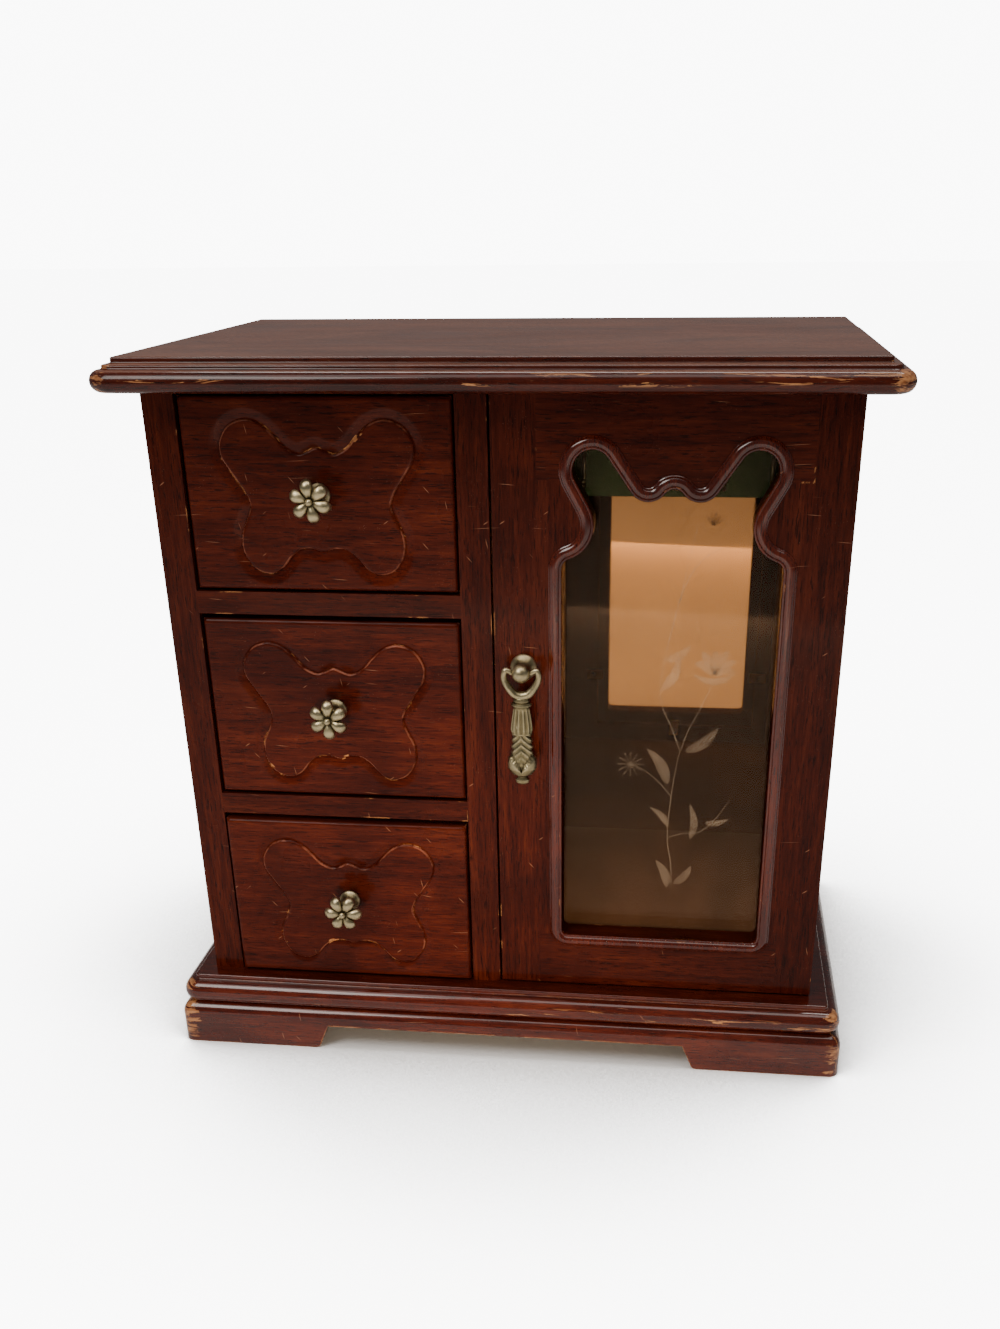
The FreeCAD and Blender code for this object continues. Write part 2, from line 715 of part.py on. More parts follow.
def make_door(pivots):
    door_back = front + door_thickness
    right = half_case
    left_inner = door_left + door_stile_width
    right_inner = right - door_stile_width + reveal
    shoulder = window_axis - window_half_width + stile_shoulder_width
    far_shoulder = window_axis + window_half_width - stile_shoulder_width
    outline = window_outline()
    opening = extrude_along_y("window_opening", outline, 1, door_thickness + reveal)
    rebate = box("glass_rebate",
                 (window_axis - rebate_half_width, window_axis + rebate_half_width),
                 (front + glass_depth, door_back + reveal), (rebate_bottom, rebate_top))
    screws = make_glass_clips(door_back)
    tools = (opening, rebate, screws)

    x = half_case - pivot_inset
    y = front + pivot_depth
    bushes = []
    for level, bottom in (("lower", door_bottom), ("upper", door_top - bush_length)):
        sleeve = cylinder(f"{level}_bush_sleeve", (x, y, bottom), bush_length, bush_radius)
        bore = cylinder(f"{level}_bush_bore", (x, y, bottom - reveal), bush_length + reveal * 2,
                        pivot_radius + pivot_clearance)
        bushes.append((sleeve, cut(f"{level}_bush", sleeve, bore)))
    sleeves = fuse("bush_sleeves", bushes[0][0], bushes[1][0])
    node(group("door_pivot_bushes", bushes[0][1], bushes[1][1]))

    pull_post = make_pull_post()
    left_stile = fuse("door_left_stile_blank",
                      box("left_stile_strip", (door_left, left_inner), (front, door_back),
                          (door_bottom, door_top)),
                      box("left_stile_shoulder", (left_inner, shoulder), (front, door_back),
                          (window_bottom, top_joint_height)))
    node(cut("door_left_stile", left_stile, *tools, pull_post))
    right_stile = fuse("door_right_stile_blank",
                       box("right_stile_strip", (right_inner, right), (front, door_back),
                           (door_bottom, door_top)),
                       box("right_stile_shoulder", (far_shoulder, right_inner), (front, door_back),
                           (window_bottom, top_joint_height)))
    node(cut("door_right_stile", right_stile, *tools, sleeves))
    top_rail = fuse("door_top_rail_blank",
                    box("top_rail_strip", (left_inner, right_inner), (front, door_back),
                        (top_joint_height, door_top)),
                    box("top_rail_pendants",
                        (window_axis - head_pendant_half_width, window_axis + head_pendant_half_width),
                        (front, door_back), (head_pendant_bottom, top_joint_height)))
    node(cut("door_top_rail", top_rail, *tools))
    bottom_rail = box("door_bottom_rail_blank", (left_inner, right_inner), (front, door_back),
                      (door_bottom, window_bottom))
    node(cut("door_bottom_rail", bottom_rail, *tools))

    ring = part("Part::Offset2D", "bead_outline")
    ring.Source = outline
    ring.Fill = True
    ring.Join = "Arc"
    bind(ring, "Value", bead_width)
    node(extrude_along_y("window_bead", ring, -1, bead_height))
    pane_half_width = rebate_half_width - glass_clearance
    node(box("window_glass", (window_axis - pane_half_width, window_axis + pane_half_width),
             (front + glass_depth, front + glass_depth + glass_thickness),
             (rebate_bottom + glass_clearance, rebate_top - glass_clearance)))
    strike_left = door_left + strike_inset
    strike_top = door_top - strike_drop
    node(box("catch_strike_plate", (strike_left, strike_left + strike_width),
             (door_back, door_back + clip_thickness), (strike_top - strike_height, strike_top)))
    make_pull_pendant()


def make_pull_post():
    """The fixed stud of the drop pull: a domed rose, a stem and a ball."""
    rose = cone("pull_rose", (pull_axis, front, pull_pivot_height), rose_height, rose_radius,
                stem_radius, UPRIGHT)
    stem = cylinder("pull_stem", (pull_axis, front + stem_tail, pull_pivot_height),
                    stem_tail + pull_pivot_reach, stem_radius, UPRIGHT)
    ball = sphere("pull_ball", (pull_axis, front - pull_pivot_reach, pull_pivot_height),
                  ball_radius)
    bore = cylinder("pull_post_bore",
                    (pull_axis - ball_radius * 2, front - pull_pivot_reach, pull_pivot_height),
                    ball_radius * 4,
                    pull_pin_radius + pull_pin_clearance, ALONG_X)
    return node(cut("pull_post", fuse("pull_post_casting", rose, stem, ball), bore))


def make_pull_pendant():
    """The swinging part: a bail on two pins, a collar, a fluted stem, a cup and a finial."""
    y = front - pull_pivot_reach
    bail = part("Part::Torus", "pull_bail_ring")
    bind(bail, "Radius1", bail_radius)
    bind(bail, "Radius2", bail_wire_radius)
    bail.Angle3 = 180
    place(bail, (pull_axis, y, pull_pivot_height), FreeCAD.Rotation(Vector(1, 0, 0), -90))
    pin_length = bail_radius - ball_radius + bail_wire_radius
    pins = []
    for side, start in (("left", pull_axis - bail_radius),
                        ("right", pull_axis + bail_radius - pin_length)):
        pins.append(cylinder(f"pull_{side}_pin", (start, y, pull_pivot_height), pin_length,
                             pull_pin_radius, ALONG_X))
    pieces = [bail] + pins
    depth, radius = pendant_top, pendant_top_radius
    for label, end, end_radius in pendant:
        pieces.append(cone(f"pull_{label}", (pull_axis, y, pull_pivot_height - end), end - depth,
                           end_radius, radius))
        depth, radius = end, end_radius
    node(fuse("pull_pendant", *pieces))


# ---------------------------------------------------------------- door compartment

def make_compartment():
    wall = front + mirror_front
    board_back = front + back_front
    felt_top = floor_top + felt_thickness
    node(box("compartment_felt", (partition_right, inside_right), (panel_front, wall),
             (floor_top, felt_top)))
    node(box("mirror", (partition_right, inside_right), (wall, wall + mirror_thickness),
             (felt_top, mirror_top)))
    node(box("mirror_backing_board", (partition_right, inside_right),
             (wall + mirror_thickness, board_back), (floor_top, mirror_top)))
    hooks = []
    middle = (partition_right + inside_right) / 2 + hook_row_shift
    for number in range(5):
        x = middle + hook_spacing * (number - 2)
        hooks.append(make_hook(f"hook_{number + 1}", x, wall))
    hook_group = node(group("necklace_hooks", *hooks))
    board = box("hook_board_blank", (partition_right, inside_right), (wall, board_back),
                (mirror_top, case_top))
    node(cut("hook_board", board, hook_group))
    magnet_left = partition_right + magnet_inset
    magnet_front = panel_front - magnet_proud
    node(box("catch_magnet", (magnet_left, magnet_left + magnet_width),
             (magnet_front, magnet_front + magnet_depth), (case_top - magnet_height, case_top)))


def make_hook(label, x, wall):
    """A screw-in hook: a shank, a bend down, and a half ring that ends in a small ball."""
    reach = hook_bend * 2
    shank = cylinder(f"{label}_shank", (x, wall + hook_insertion, hook_height),
                     reach - hook_bend + hook_insertion, hook_wire_radius, UPRIGHT)
    bend = part("Part::Torus", f"{label}_bend")
    bowl = part("Part::Torus", f"{label}_bowl")
    for ring in (bend, bowl):
        bind(ring, "Radius1", hook_bend)
        bind(ring, "Radius2", hook_wire_radius)
    facing_side = FreeCAD.Rotation(Vector(0, 0, 1), -90) * UPRIGHT
    bend.Angle3 = 90
    place(bend, (x, wall - hook_bend, hook_height - hook_bend), facing_side)
    bowl.Angle3 = 180
    place(bowl, (x, wall - hook_bend * 3, hook_height - hook_bend * 3),
          facing_side * FreeCAD.Rotation(Vector(0, 0, 1), 180))
    drop = cylinder(f"{label}_drop", (x, wall - reach, hook_height - hook_bend * 3),
                    hook_bend * 2, hook_wire_radius)
    tip = sphere(f"{label}_tip", (x, wall - hook_bend * 4, hook_height - hook_bend * 3),
                 hook_tip_radius)
    return fuse(label, shank, bend, drop, bowl, tip)


# ---------------------------------------------------------------- assembly and export

def check_and_export():
    doc.recompute()
    for item in doc.Objects:
        if "Invalid" in item.State or "Error" in item.State:
            raise RuntimeError(f"{item.Label} failed: {item.State}")
    os.makedirs("parts", exist_ok=True)
    for item in nodes:
        if item.Shape.isNull() or not item.Shape.isValid():
            raise RuntimeError(f"{item.Label} has no valid shape")
    whole = FreeCAD.BoundBox()
    for item in nodes:
        item.Shape.exportStep(f"parts/{item.Label}.step")
        whole.add(item.Shape.BoundBox)
        print(f"{item.Label:26s} solids {len(item.Shape.Solids)} "
              f"volume {item.Shape.Volume:9.1f}")
    print(f"{len(nodes)} sub-parts, box {whole}")


pivots = make_pivots()
make_moulded_boards(pivots)
make_plinth()
make_case()
make_drawer("bottom_drawer", case_floor, lower_rail_bottom, floor_top, top_gap, drawer_ajar, 0)
make_drawer("middle_drawer", lower_rail_bottom + rail_height, upper_rail_bottom,
            lower_rail_bottom + rail_height, top_gap, Size(0), 90)
make_drawer("top_drawer", upper_rail_bottom + rail_height, case_top,
            upper_rail_bottom + rail_height, top_gap, Size(0), 40)
make_door(pivots)
make_compartment()
check_and_export()
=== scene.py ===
"""Looks of a table-top jewelry armoire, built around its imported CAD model.

Lengths taken from the design are written in millimetres and multiplied by MM.
"""

import json
import math

import bmesh
import bpy
import numpy as np
from mathutils import Euler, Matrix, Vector


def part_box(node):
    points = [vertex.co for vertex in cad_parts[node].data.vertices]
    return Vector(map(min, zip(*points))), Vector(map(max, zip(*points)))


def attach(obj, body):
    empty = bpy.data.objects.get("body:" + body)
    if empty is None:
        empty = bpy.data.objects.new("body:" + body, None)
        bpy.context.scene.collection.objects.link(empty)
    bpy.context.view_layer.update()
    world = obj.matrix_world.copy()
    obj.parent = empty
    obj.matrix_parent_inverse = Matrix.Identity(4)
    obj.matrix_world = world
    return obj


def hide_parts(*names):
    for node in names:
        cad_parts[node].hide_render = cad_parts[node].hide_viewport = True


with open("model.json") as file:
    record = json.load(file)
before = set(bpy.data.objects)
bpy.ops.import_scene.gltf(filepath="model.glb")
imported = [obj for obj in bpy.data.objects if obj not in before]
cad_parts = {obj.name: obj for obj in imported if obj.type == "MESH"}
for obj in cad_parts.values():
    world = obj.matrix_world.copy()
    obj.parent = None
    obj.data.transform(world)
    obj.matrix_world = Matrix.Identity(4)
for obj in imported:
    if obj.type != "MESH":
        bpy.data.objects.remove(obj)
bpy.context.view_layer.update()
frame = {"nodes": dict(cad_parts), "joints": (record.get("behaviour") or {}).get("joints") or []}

MM = 0.001


# ---------------------------------------------------------------- mesh helpers

def make_object(name, points, faces, smooth_angle=40):
    """A mesh object from points in metres, smooth except across edges sharper than an angle."""
    mesh = bpy.data.meshes.new(name)
    mesh.from_pydata([tuple(point) for point in points], [], faces)
    mesh.validate()
    mesh.shade_smooth()
    mesh.set_sharp_from_angle(angle=math.radians(smooth_angle))
    piece = bpy.data.objects.new(name, mesh)
    bpy.context.scene.collection.objects.link(piece)
    return piece


def face_outward(piece):
    """Turn the faces of a closed mesh outward."""
    work = bmesh.new()
    work.from_mesh(piece.data)
    bmesh.ops.recalc_face_normals(work, faces=work.faces)
    work.to_mesh(piece.data)
    work.free()


def skin_rings(rings, cap=True):
    """Points and faces of a skin over closed rings that have the same number of points."""
    count = len(rings[0])
    points = [point for ring in rings for point in ring]
    faces = []
    for level in range(len(rings) - 1):
        low, high = level * count, (level + 1) * count
        for side in range(count):
            after = (side + 1) % count
            faces.append((low + side, low + after, high + after, high + side))
    if cap:
        faces.append(tuple(reversed(range(count))))
        faces.append(tuple(range(len(points) - count, len(points))))
    return points, faces


def join_parts(name, parts, smooth_angle=40, outward=True):
    """One object from several (points, faces) pairs, closed ones unless outward is False."""
    points, faces = [], []
    for part_points, part_faces in parts:
        start = len(points)
        points.extend(part_points)
        faces.extend(tuple(start + index for index in face) for face in part_faces)
    piece = make_object(name, points, faces, smooth_angle)
    if outward:
        face_outward(piece)
    return piece


def tube(path, radii, sides=12):
    """A round tube along a path of Vectors, with a radius at each point."""
    rings = []
    side = None
    for index, point in enumerate(path):
        ahead = path[min(index + 1, len(path) - 1)]
        behind = path[max(index - 1, 0)]
        along = (ahead - behind).normalized()
        if side is None:
            helper = Vector((0, 0, 1)) if abs(along.z) < 0.9 else Vector((0, 1, 0))
            side = along.cross(helper).normalized()
        side = (side - along * side.dot(along)).normalized()
        other = along.cross(side)
        radius = radii[index] if hasattr(radii, "__len__") else radii
        rings.append([point + (side * math.cos(turn) + other * math.sin(turn)) * radius
                      for turn in (2 * math.pi * step / sides for step in range(sides))])
    return skin_rings(rings)


def ball(centre, radius, sides=24, levels=14):
    """A sphere whose two poles are closed by small flat caps."""
    rings = []
    for level in range(levels + 1):
        polar = math.pi * (0.02 + 0.96 * level / levels)
        rings.append([Vector((centre[0] + radius * math.sin(polar) * math.cos(turn),
                              centre[1] + radius * math.sin(polar) * math.sin(turn),
                              centre[2] + radius * math.cos(polar)))
                      for turn in (2 * math.pi * step / sides for step in range(sides))])
    return skin_rings(rings)


def turned(centre, back_y, profile, sides):
    """Rings of a piece turned about an axis along Y; profile lists (depth, radius) in mm."""
    return [[Vector((centre.x + radius * MM * math.cos(a), back_y - depth * MM,
                     centre.z + radius * MM * math.sin(a)))
             for a in (2 * math.pi * k / sides for k in range(sides))] for depth, radius in profile]


def unit(degrees):
    """The direction of an angle in the plane of the glass."""
    return Vector((math.cos(math.radians(degrees)), math.sin(math.radians(degrees))))


def through(points, steps=8, closed=True):
    """A smooth Catmull-Rom line through given points."""
    count = len(points)
    line = []
    for index in range(count if closed else count - 1):
        if closed:
            a, b, c, d = (points[(index + shift) % count] for shift in (-1, 0, 1, 2))
        else:
            a, b, c, d = (points[min(max(index + shift, 0), count - 1)] for shift in (-1, 0, 1, 2))
        for step in range(steps):
            t = step / steps
            line.append(tuple(
                0.5 * (2 * b[k] + (c[k] - a[k]) * t + (2 * a[k] - 5 * b[k] + 4 * c[k] - d[k]) * t ** 2
                       + (3 * b[k] - a[k] - 3 * c[k] + d[k]) * t ** 3) for k in range(2)))
    if not closed:
        line.append(tuple(points[-1]))
    return line


# ---------------------------------------------------------------- material helpers

class Shader:
    """A node material with a Principled shader and short calls for the usual nodes."""

    def __init__(self, name):
        self.material = bpy.data.materials.new(name)
        self.material.use_nodes = True
        self.tree = self.material.node_tree
        self.surface = self.tree.nodes["Principled BSDF"]
        self.output = self.tree.nodes["Material Output"]
        self.place = self.add("ShaderNodeTexCoord").outputs["Object"]

    def add(self, kind, **settings):
        made = self.tree.nodes.new(kind)
        for key, value in settings.items():
            setattr(made, key, value)
        return made

    def put(self, socket, value):
        """Link a socket to another, or set its own value."""
        if isinstance(value, bpy.types.NodeSocket):
            self.tree.links.new(value, socket)
        else:
            socket.default_value = value

    def set(self, **values):
        for name, value in values.items():
            self.put(self.surface.inputs[name.replace("_", " ")], value)

    def axes(self, vector):
        """The X, Y and Z of a vector socket, by name."""
        made = self.add("ShaderNodeSeparateXYZ")
        self.put(made.inputs[0], vector)
        return made.outputs

    def blend(self, share, first, second):
        """Mix two shader nodes and show the result, until a later blend takes its place."""
        made = self.add("ShaderNodeMixShader")
        self.put(made.inputs["Fac"], share)
        self.put(made.inputs[1], first.outputs[0])
        self.put(made.inputs[2], second.outputs[0])
        self.put(self.output.inputs["Surface"], made.outputs[0])
        return made

    def mapped(self, scale, turn=(0, 0, 0)):
        """The place on the object in metres, scaled and turned."""
        made = self.add("ShaderNodeMapping")
        self.put(made.inputs["Vector"], self.place)
        made.inputs["Scale"].default_value = scale
        made.inputs["Rotation"].default_value = turn
        return made.outputs[0]

    def noise(self, scale, detail=3.0, roughness=0.55, distortion=0.0, turn=(0, 0, 0)):
        """Noise of so many lumps per metre: one number for all axes, or one for each."""
        scales = scale if hasattr(scale, "__len__") else (scale, scale, scale)
        made = self.add("ShaderNodeTexNoise")
        self.put(made.inputs["Vector"], self.mapped(scales, turn))
        made.inputs["Scale"].default_value = 1.0
        made.inputs["Detail"].default_value = detail
        made.inputs["Roughness"].default_value = roughness
        made.inputs["Distortion"].default_value = distortion
        return made.outputs["Fac"]

    def times(self, first, second):
        return self.math("MULTIPLY", first, second)

    def plus(self, first, second):
        return self.math("ADD", first, second)

    def math(self, operation, first, second=0.0):
        made = self.add("ShaderNodeMath", operation=operation)
        self.put(made.inputs[0], first)
        self.put(made.inputs[1], second)
        return made.outputs[0]

    def band(self, value, low, high, out_low=0.0, out_high=1.0):
        """Map low..high to out_low..out_high, smoothly and clamped."""
        made = self.add("ShaderNodeMapRange", interpolation_type="SMOOTHSTEP")
        self.put(made.inputs["Value"], value)
        for name, amount in (("From Min", low), ("From Max", high),
                             ("To Min", out_low), ("To Max", out_high)):
            made.inputs[name].default_value = amount
        return made.outputs[0]

    def ramp(self, value, *stops):
        made = self.add("ShaderNodeValToRGB")
        self.put(made.inputs[0], value)
        elements = made.color_ramp.elements
        while len(elements) < len(stops):
            elements.new(0.5)
        for element, (position, colour) in zip(elements, stops):
            element.position = position
            element.color = (*colour, 1)
        return made.outputs[0]

    def mix(self, share, first, second):
        made = self.add("ShaderNodeMix", data_type="RGBA")
        self.put(made.inputs["Factor"], share)
        for socket, value in zip([s for s in made.inputs if s.type == "RGBA"], (first, second)):
            self.put(socket, value if isinstance(value, bpy.types.NodeSocket) else (*value, 1))
        return [s for s in made.outputs if s.type == "RGBA"][0]

    def bump(self, height, distance, strength):
        made = self.add("ShaderNodeBump")
        self.put(made.inputs["Height"], height)
        made.inputs["Distance"].default_value = distance
        made.inputs["Strength"].default_value = strength
        return made.outputs[0]

    def edges(self, radius):
        """About 0 on flat surfaces and rising to 1 across sharp edges."""
        rounded = self.add("ShaderNodeBevel", samples=6)
        rounded.inputs["Radius"].default_value = radius
        plain = self.add("ShaderNodeNewGeometry")
        dot = self.add("ShaderNodeVectorMath", operation="DOT_PRODUCT")
        self.put(dot.inputs[0], rounded.outputs[0])
        self.put(dot.inputs[1], plain.outputs["Normal"])
        return self.math("SUBTRACT", 1.0, dot.outputs["Value"])

    def dashes(self, plane, angle, length, width, share, shift=0.0):
        """Thin straight marks in one plane of the object, turned by an angle in degrees.

        share is how many of the possible marks are there.
        """
        turn = math.radians(angle)
        sizes = {"front": (length, 0.08, width), "top": (length, width, 0.08),
                 "side": (0.08, length, width)}[plane]
        turns = {"front": (0, turn, 0), "top": (0, 0, turn), "side": (turn, 0, 0)}[plane]
        made = self.add("ShaderNodeMapping", vector_type="TEXTURE")
        self.put(made.inputs["Vector"], self.place)
        made.inputs["Location"].default_value = (shift, shift * 0.7, shift * 0.4)
        made.inputs["Rotation"].default_value = turns
        made.inputs["Scale"].default_value = sizes
        cells = self.add("ShaderNodeTexVoronoi")
        self.put(cells.inputs["Vector"], made.outputs[0])
        cells.inputs["Scale"].default_value = 1.0
        apart = self.add("ShaderNodeSeparateColor")
        self.put(apart.inputs[0], cells.outputs["Color"])
        chosen = self.math("GREATER_THAN", apart.outputs[0], 1 - share)
        line = self.band(cells.outputs["Distance"], 0.10, 0.30, 1.0, 0.0)
        return self.times(self.times(line, chosen), self.faces_along(plane))

    def faces_along(self, plane):
        """1 on faces that lie in a plane of the object, 0 on faces across it."""
        normal = self.axes(self.add("ShaderNodeTexCoord").outputs["Normal"])
        across = normal[{"front": "Y", "top": "Z", "side": "X"}[plane]]
        return self.band(self.math("ABSOLUTE", across), 0.6, 0.9)


GRAIN = {  # stretch of the grain pattern along each axis of the object
    "x": (1.0, 14.0, 14.0),
    "y": (14.0, 1.0, 14.0),
    "z": (14.0, 14.0, 1.0),
}

NICKS = [  # angle in degrees, length and width in metres, share of cells, shift
    (-3, 0.022, 0.0004, 0.015, 0.31), (78, 0.008, 0.0006, 0.010, 0.57),
    (48, 0.007, 0.0006, 0.008, 0.83), (-35, 0.005, 0.0008, 0.010, 1.2),
]


def scaled(vector, factor):
    return tuple(value * factor for value in vector)


def mahogany(name, grain="x", marks="front", tone=1.0, wear=0.5, gloss=0.28, shine=0.12,
             nose=None, corner=None, dust=0.0, marked=1.0, rim=False):
    """Red-brown stained wood under old lacquer.

    grain is the axis that the fibres follow, and marks is the plane that the scratches lie in.
    tone brightens the wood, wear sets how much bare wood shows along its edges, gloss is the
    roughness of what lacquer is left, shine is how much clear lacquer that is, dust is how much
    dust lies on its upper faces, and marked is how scratched it is. nose is the height in mm of
    a moulded edge that is rubbed in streaks, corner is where its front corners begin to be
    rubbed, and rim asks for a painted highlight line and rubbed chips round a carved outline.
    """
    s = Shader(name)
    stretch = GRAIN[grain]
    broad = s.noise(scaled(stretch, 5), 4.0, 0.6, 0.8)
    streaks = s.noise(scaled(stretch, 26), 4.0, 0.7, 0.4)
    fibres = s.noise(scaled(stretch, 95), 4.0, 0.7)
    blotches = s.noise(22, 4.0, 0.6, 0.6)
    figure = s.plus(s.times(broad, 0.30), s.times(streaks, 0.36))
    figure = s.plus(figure, s.times(fibres, 0.34))
    dark = (0.030 * tone, 0.0030 * tone, 0.0012 * tone)
    middle = (0.088 * tone, 0.0108 * tone, 0.0036 * tone)
    light = (0.163 * tone, 0.0270 * tone, 0.0090 * tone)
    colour = s.ramp(figure, (0.37, dark), (0.50, middle), (0.64, light))
    colour = s.mix(s.band(blotches, 0.42, 0.68, 0.0, 0.55), colour, dark)
    pores = s.band(s.noise(scaled(stretch, 170), 2.0, 0.5), 0.60, 0.66)
    colour = s.mix(s.times(pores, 0.75), colour, scaled(dark, 0.4))

    bare = s.ramp(s.noise(scaled(stretch, 60), 3.0),
                  (0.35, (0.17, 0.060, 0.022)), (0.65, (0.46, 0.215, 0.088)))
    rubbed = s.noise(46, 5.0, 0.68, 0.5)
    edge = s.band(s.edges(0.0009), 0.02, 0.14)
    worn = s.times(edge, s.band(rubbed, 0.66 - 0.2 * wear, 0.71 - 0.2 * wear))
    if nose:
        spot = s.axes(s.place)
        streaky = s.noise((34, 34, 460), 5.0, 0.66, 0.6)
        rightward = s.band(spot["X"], -60 * MM, 130 * MM, 0.0, 0.07)
        streaky = s.plus(streaky, rightward)
        worn = s.math("MAXIMUM", worn, s.times(edge, s.band(streaky, 0.50, 0.54)))
        level = s.math("ABSOLUTE", s.math("SUBTRACT", spot["Z"], nose * MM))
        zone = s.band(level, 1.2 * MM, 2.6 * MM, 1.0, 0.0)
        worn = s.math("MAXIMUM", worn, s.times(zone, s.band(streaky, 0.635, 0.655)))
        beside = s.band(s.math("ABSOLUTE", spot["X"]), corner[0] * MM, (corner[0] + 9) * MM)
        ahead = s.band(spot["Y"], (corner[1] - 9) * MM, corner[1] * MM, 1.0, 0.0)
        torn = s.noise((70, 70, 300), 5.0, 0.7, 0.8)
        torn = s.plus(torn, s.times(s.times(beside, ahead), 0.22))
        worn = s.math("MAXIMUM", worn, s.band(torn, 0.70, 0.74))
    if rim:
        outline = s.add("ShaderNodeAttribute", attribute_name="rim").outputs["Fac"]
        broken = s.noise(120, 4.0, 0.6)
        chips = s.band(s.noise(28, 5.0, 0.75), 0.615, 0.64)
        # painted highlight: a light pinkish line along the carved outline stands for the glint of its
        # rounded rim
        line = s.times(s.band(outline, 0.55, 0.95), s.band(broken, 0.42, 0.62, 0.0, 1.0))
        chip = s.times(s.band(outline, 0.10, 0.20), chips)
        worn = s.math("MAXIMUM", worn, chip)
        colour = s.mix(s.times(line, 0.60), colour, (0.26, 0.090, 0.055))
    colour = s.mix(s.times(worn, 0.85), colour, bare)

    nicks = s.dashes(marks, 4, 0.012, 0.0005, 0.020 * marked)
    for angle, length, width, share, shift in NICKS:
        nicks = s.math("MAXIMUM", nicks, s.dashes(marks, angle, length, width, share * marked, shift))
    colour = s.mix(s.times(nicks, 0.50), colour, (0.33, 0.150, 0.085))
    dots = s.add("ShaderNodeTexVoronoi")
    s.put(dots.inputs["Vector"], s.mapped((240, 240, 240)))
    specks = s.times(s.band(dots.outputs["Distance"], 0.05, 0.10, 1.0, 0.0),
                    s.band(s.noise(75, 3.0), 0.57, 0.62))
    colour = s.mix(s.times(specks, 0.5), colour, (0.36, 0.22, 0.15))

    rough = s.band(s.noise(30, 4.0, 0.6), 0.3, 0.7, gloss - 0.05,
                   gloss + 0.12)
    rough = s.plus(rough, s.times(worn, 0.3))
    if dust:
        facing = s.axes(s.add("ShaderNodeNewGeometry").outputs["Normal"])
        up = s.band(facing["Z"], 0.80, 0.98)
        smear = s.noise((9, 22, 9), 5.0, 0.62, 1.2)
        grit = s.noise(700, 3.0, 0.7)
        film = s.times(up, s.band(smear, 0.30, 0.72, dust * 0.5, dust))
        film = s.times(film, s.band(grit, 0.35, 0.65, 0.75, 1.25))
        colour = s.mix(film, colour, (0.155, 0.066, 0.041))
        rough = s.plus(rough, s.times(film, 0.35))
    s.set(Base_Color=colour, Roughness=rough, Specular_IOR_Level=0.08)
    s.set(Specular_Tint=(1.0, 0.80, 0.72, 1), Coat_Weight=shine)
    s.set(Coat_Roughness=0.10)
    height = s.math("SUBTRACT", s.times(fibres, 0.6), s.times(pores, 0.9))
    height = s.math("SUBTRACT", height, s.times(s.plus(worn, nicks), 1.1))
    s.set(Normal=s.bump(height, 0.00009, 0.8))
    return s.material


def raw_board(name, grain, dark_front=False):
    """Plain unstained board for the insides and the back, darker on faces toward the front if asked."""
    s = Shader(name)
    broad = s.noise(scaled(GRAIN[grain], 3.5), 3.0, 0.5, 0.15)
    fibres = s.noise(scaled(GRAIN[grain], 48), 4.0, 0.65)
    figure = s.plus(s.times(broad, 0.5), s.times(fibres, 0.5))
    colour = s.ramp(figure, (0.36, (0.25, 0.135, 0.064)), (0.5, (0.34, 0.200, 0.100)),
                    (0.64, (0.43, 0.270, 0.145)))
    marks = s.dashes("front", 80, 0.012, 0.0008, 0.03, 0.4)
    colour = s.mix(s.times(marks, 0.35), colour, (0.12, 0.06, 0.03))
    if dark_front:
        # faces toward the front are made dark brown
        normal = s.axes(s.add("ShaderNodeTexCoord").outputs["Normal"])
        forward = s.band(normal["Y"], -0.9, -0.6, 0.92, 0.0)
        colour = s.mix(forward, colour, (0.050, 0.016, 0.007))
    s.set(Base_Color=colour, Roughness=s.band(broad, 0.3, 0.7, 0.55, 0.75),
          Normal=s.bump(fibres, 0.0001, 0.7))
    return s.material


def aged_brass(name):
    """Antique brass: bright where it is rubbed, green-brown in the hollows."""
    s = Shader(name)
    cover = s.add("ShaderNodeAmbientOcclusion", samples=6)
    cover.inputs["Distance"].default_value = 1.4 * MM
    convex = s.add("ShaderNodeNewGeometry").outputs["Pointiness"]
    clouds = s.noise(240, 4.0, 0.6)
    grain = s.noise(1500, 3.0, 0.6)
    rubbed = s.plus(s.band(cover.outputs["AO"], 0.35, 0.95, 0.0, 0.62),
                    s.times(s.math("SUBTRACT", clouds, 0.5), 0.5))
    rubbed = s.plus(rubbed, s.band(convex, 0.49, 0.56, 0.0, 0.35))
    colour = s.ramp(rubbed, (0.10, (0.018, 0.013, 0.006)), (0.38, (0.085, 0.066, 0.030)),
                    (0.62, (0.24, 0.195, 0.100)), (0.92, (0.56, 0.47, 0.28)))
    green = s.band(s.noise(170, 3.0, turn=(0.4, 0.2, 0.1)), 0.5, 0.72,
                   0.0, 0.45)
    colour = s.mix(green, colour, (0.12, 0.13, 0.075))
    s.set(Base_Color=colour, Metallic=s.band(rubbed, 0.2, 0.6, 0.75, 1.0),
          Roughness=s.band(clouds, 0.3, 0.7, 0.30, 0.46), Normal=s.bump(grain, 0.00004, 0.5))
    return s.material


def plated_steel(name):
    """Dull zinc plate with faint drawing marks."""
    s = Shader(name)
    clouds = s.noise(300, 3.0)
    brushed = s.noise((2500, 200, 2500), 2.0)
    colour = s.ramp(clouds, (0.3, (0.36, 0.35, 0.33)), (0.7, (0.60, 0.60, 0.58)))
    s.set(Base_Color=colour, Roughness=s.band(clouds, 0.3, 0.7, 0.24, 0.42),
          Normal=s.bump(brushed, 0.00002, 0.5))
    s.set(Metallic=1.0)
    return s.material


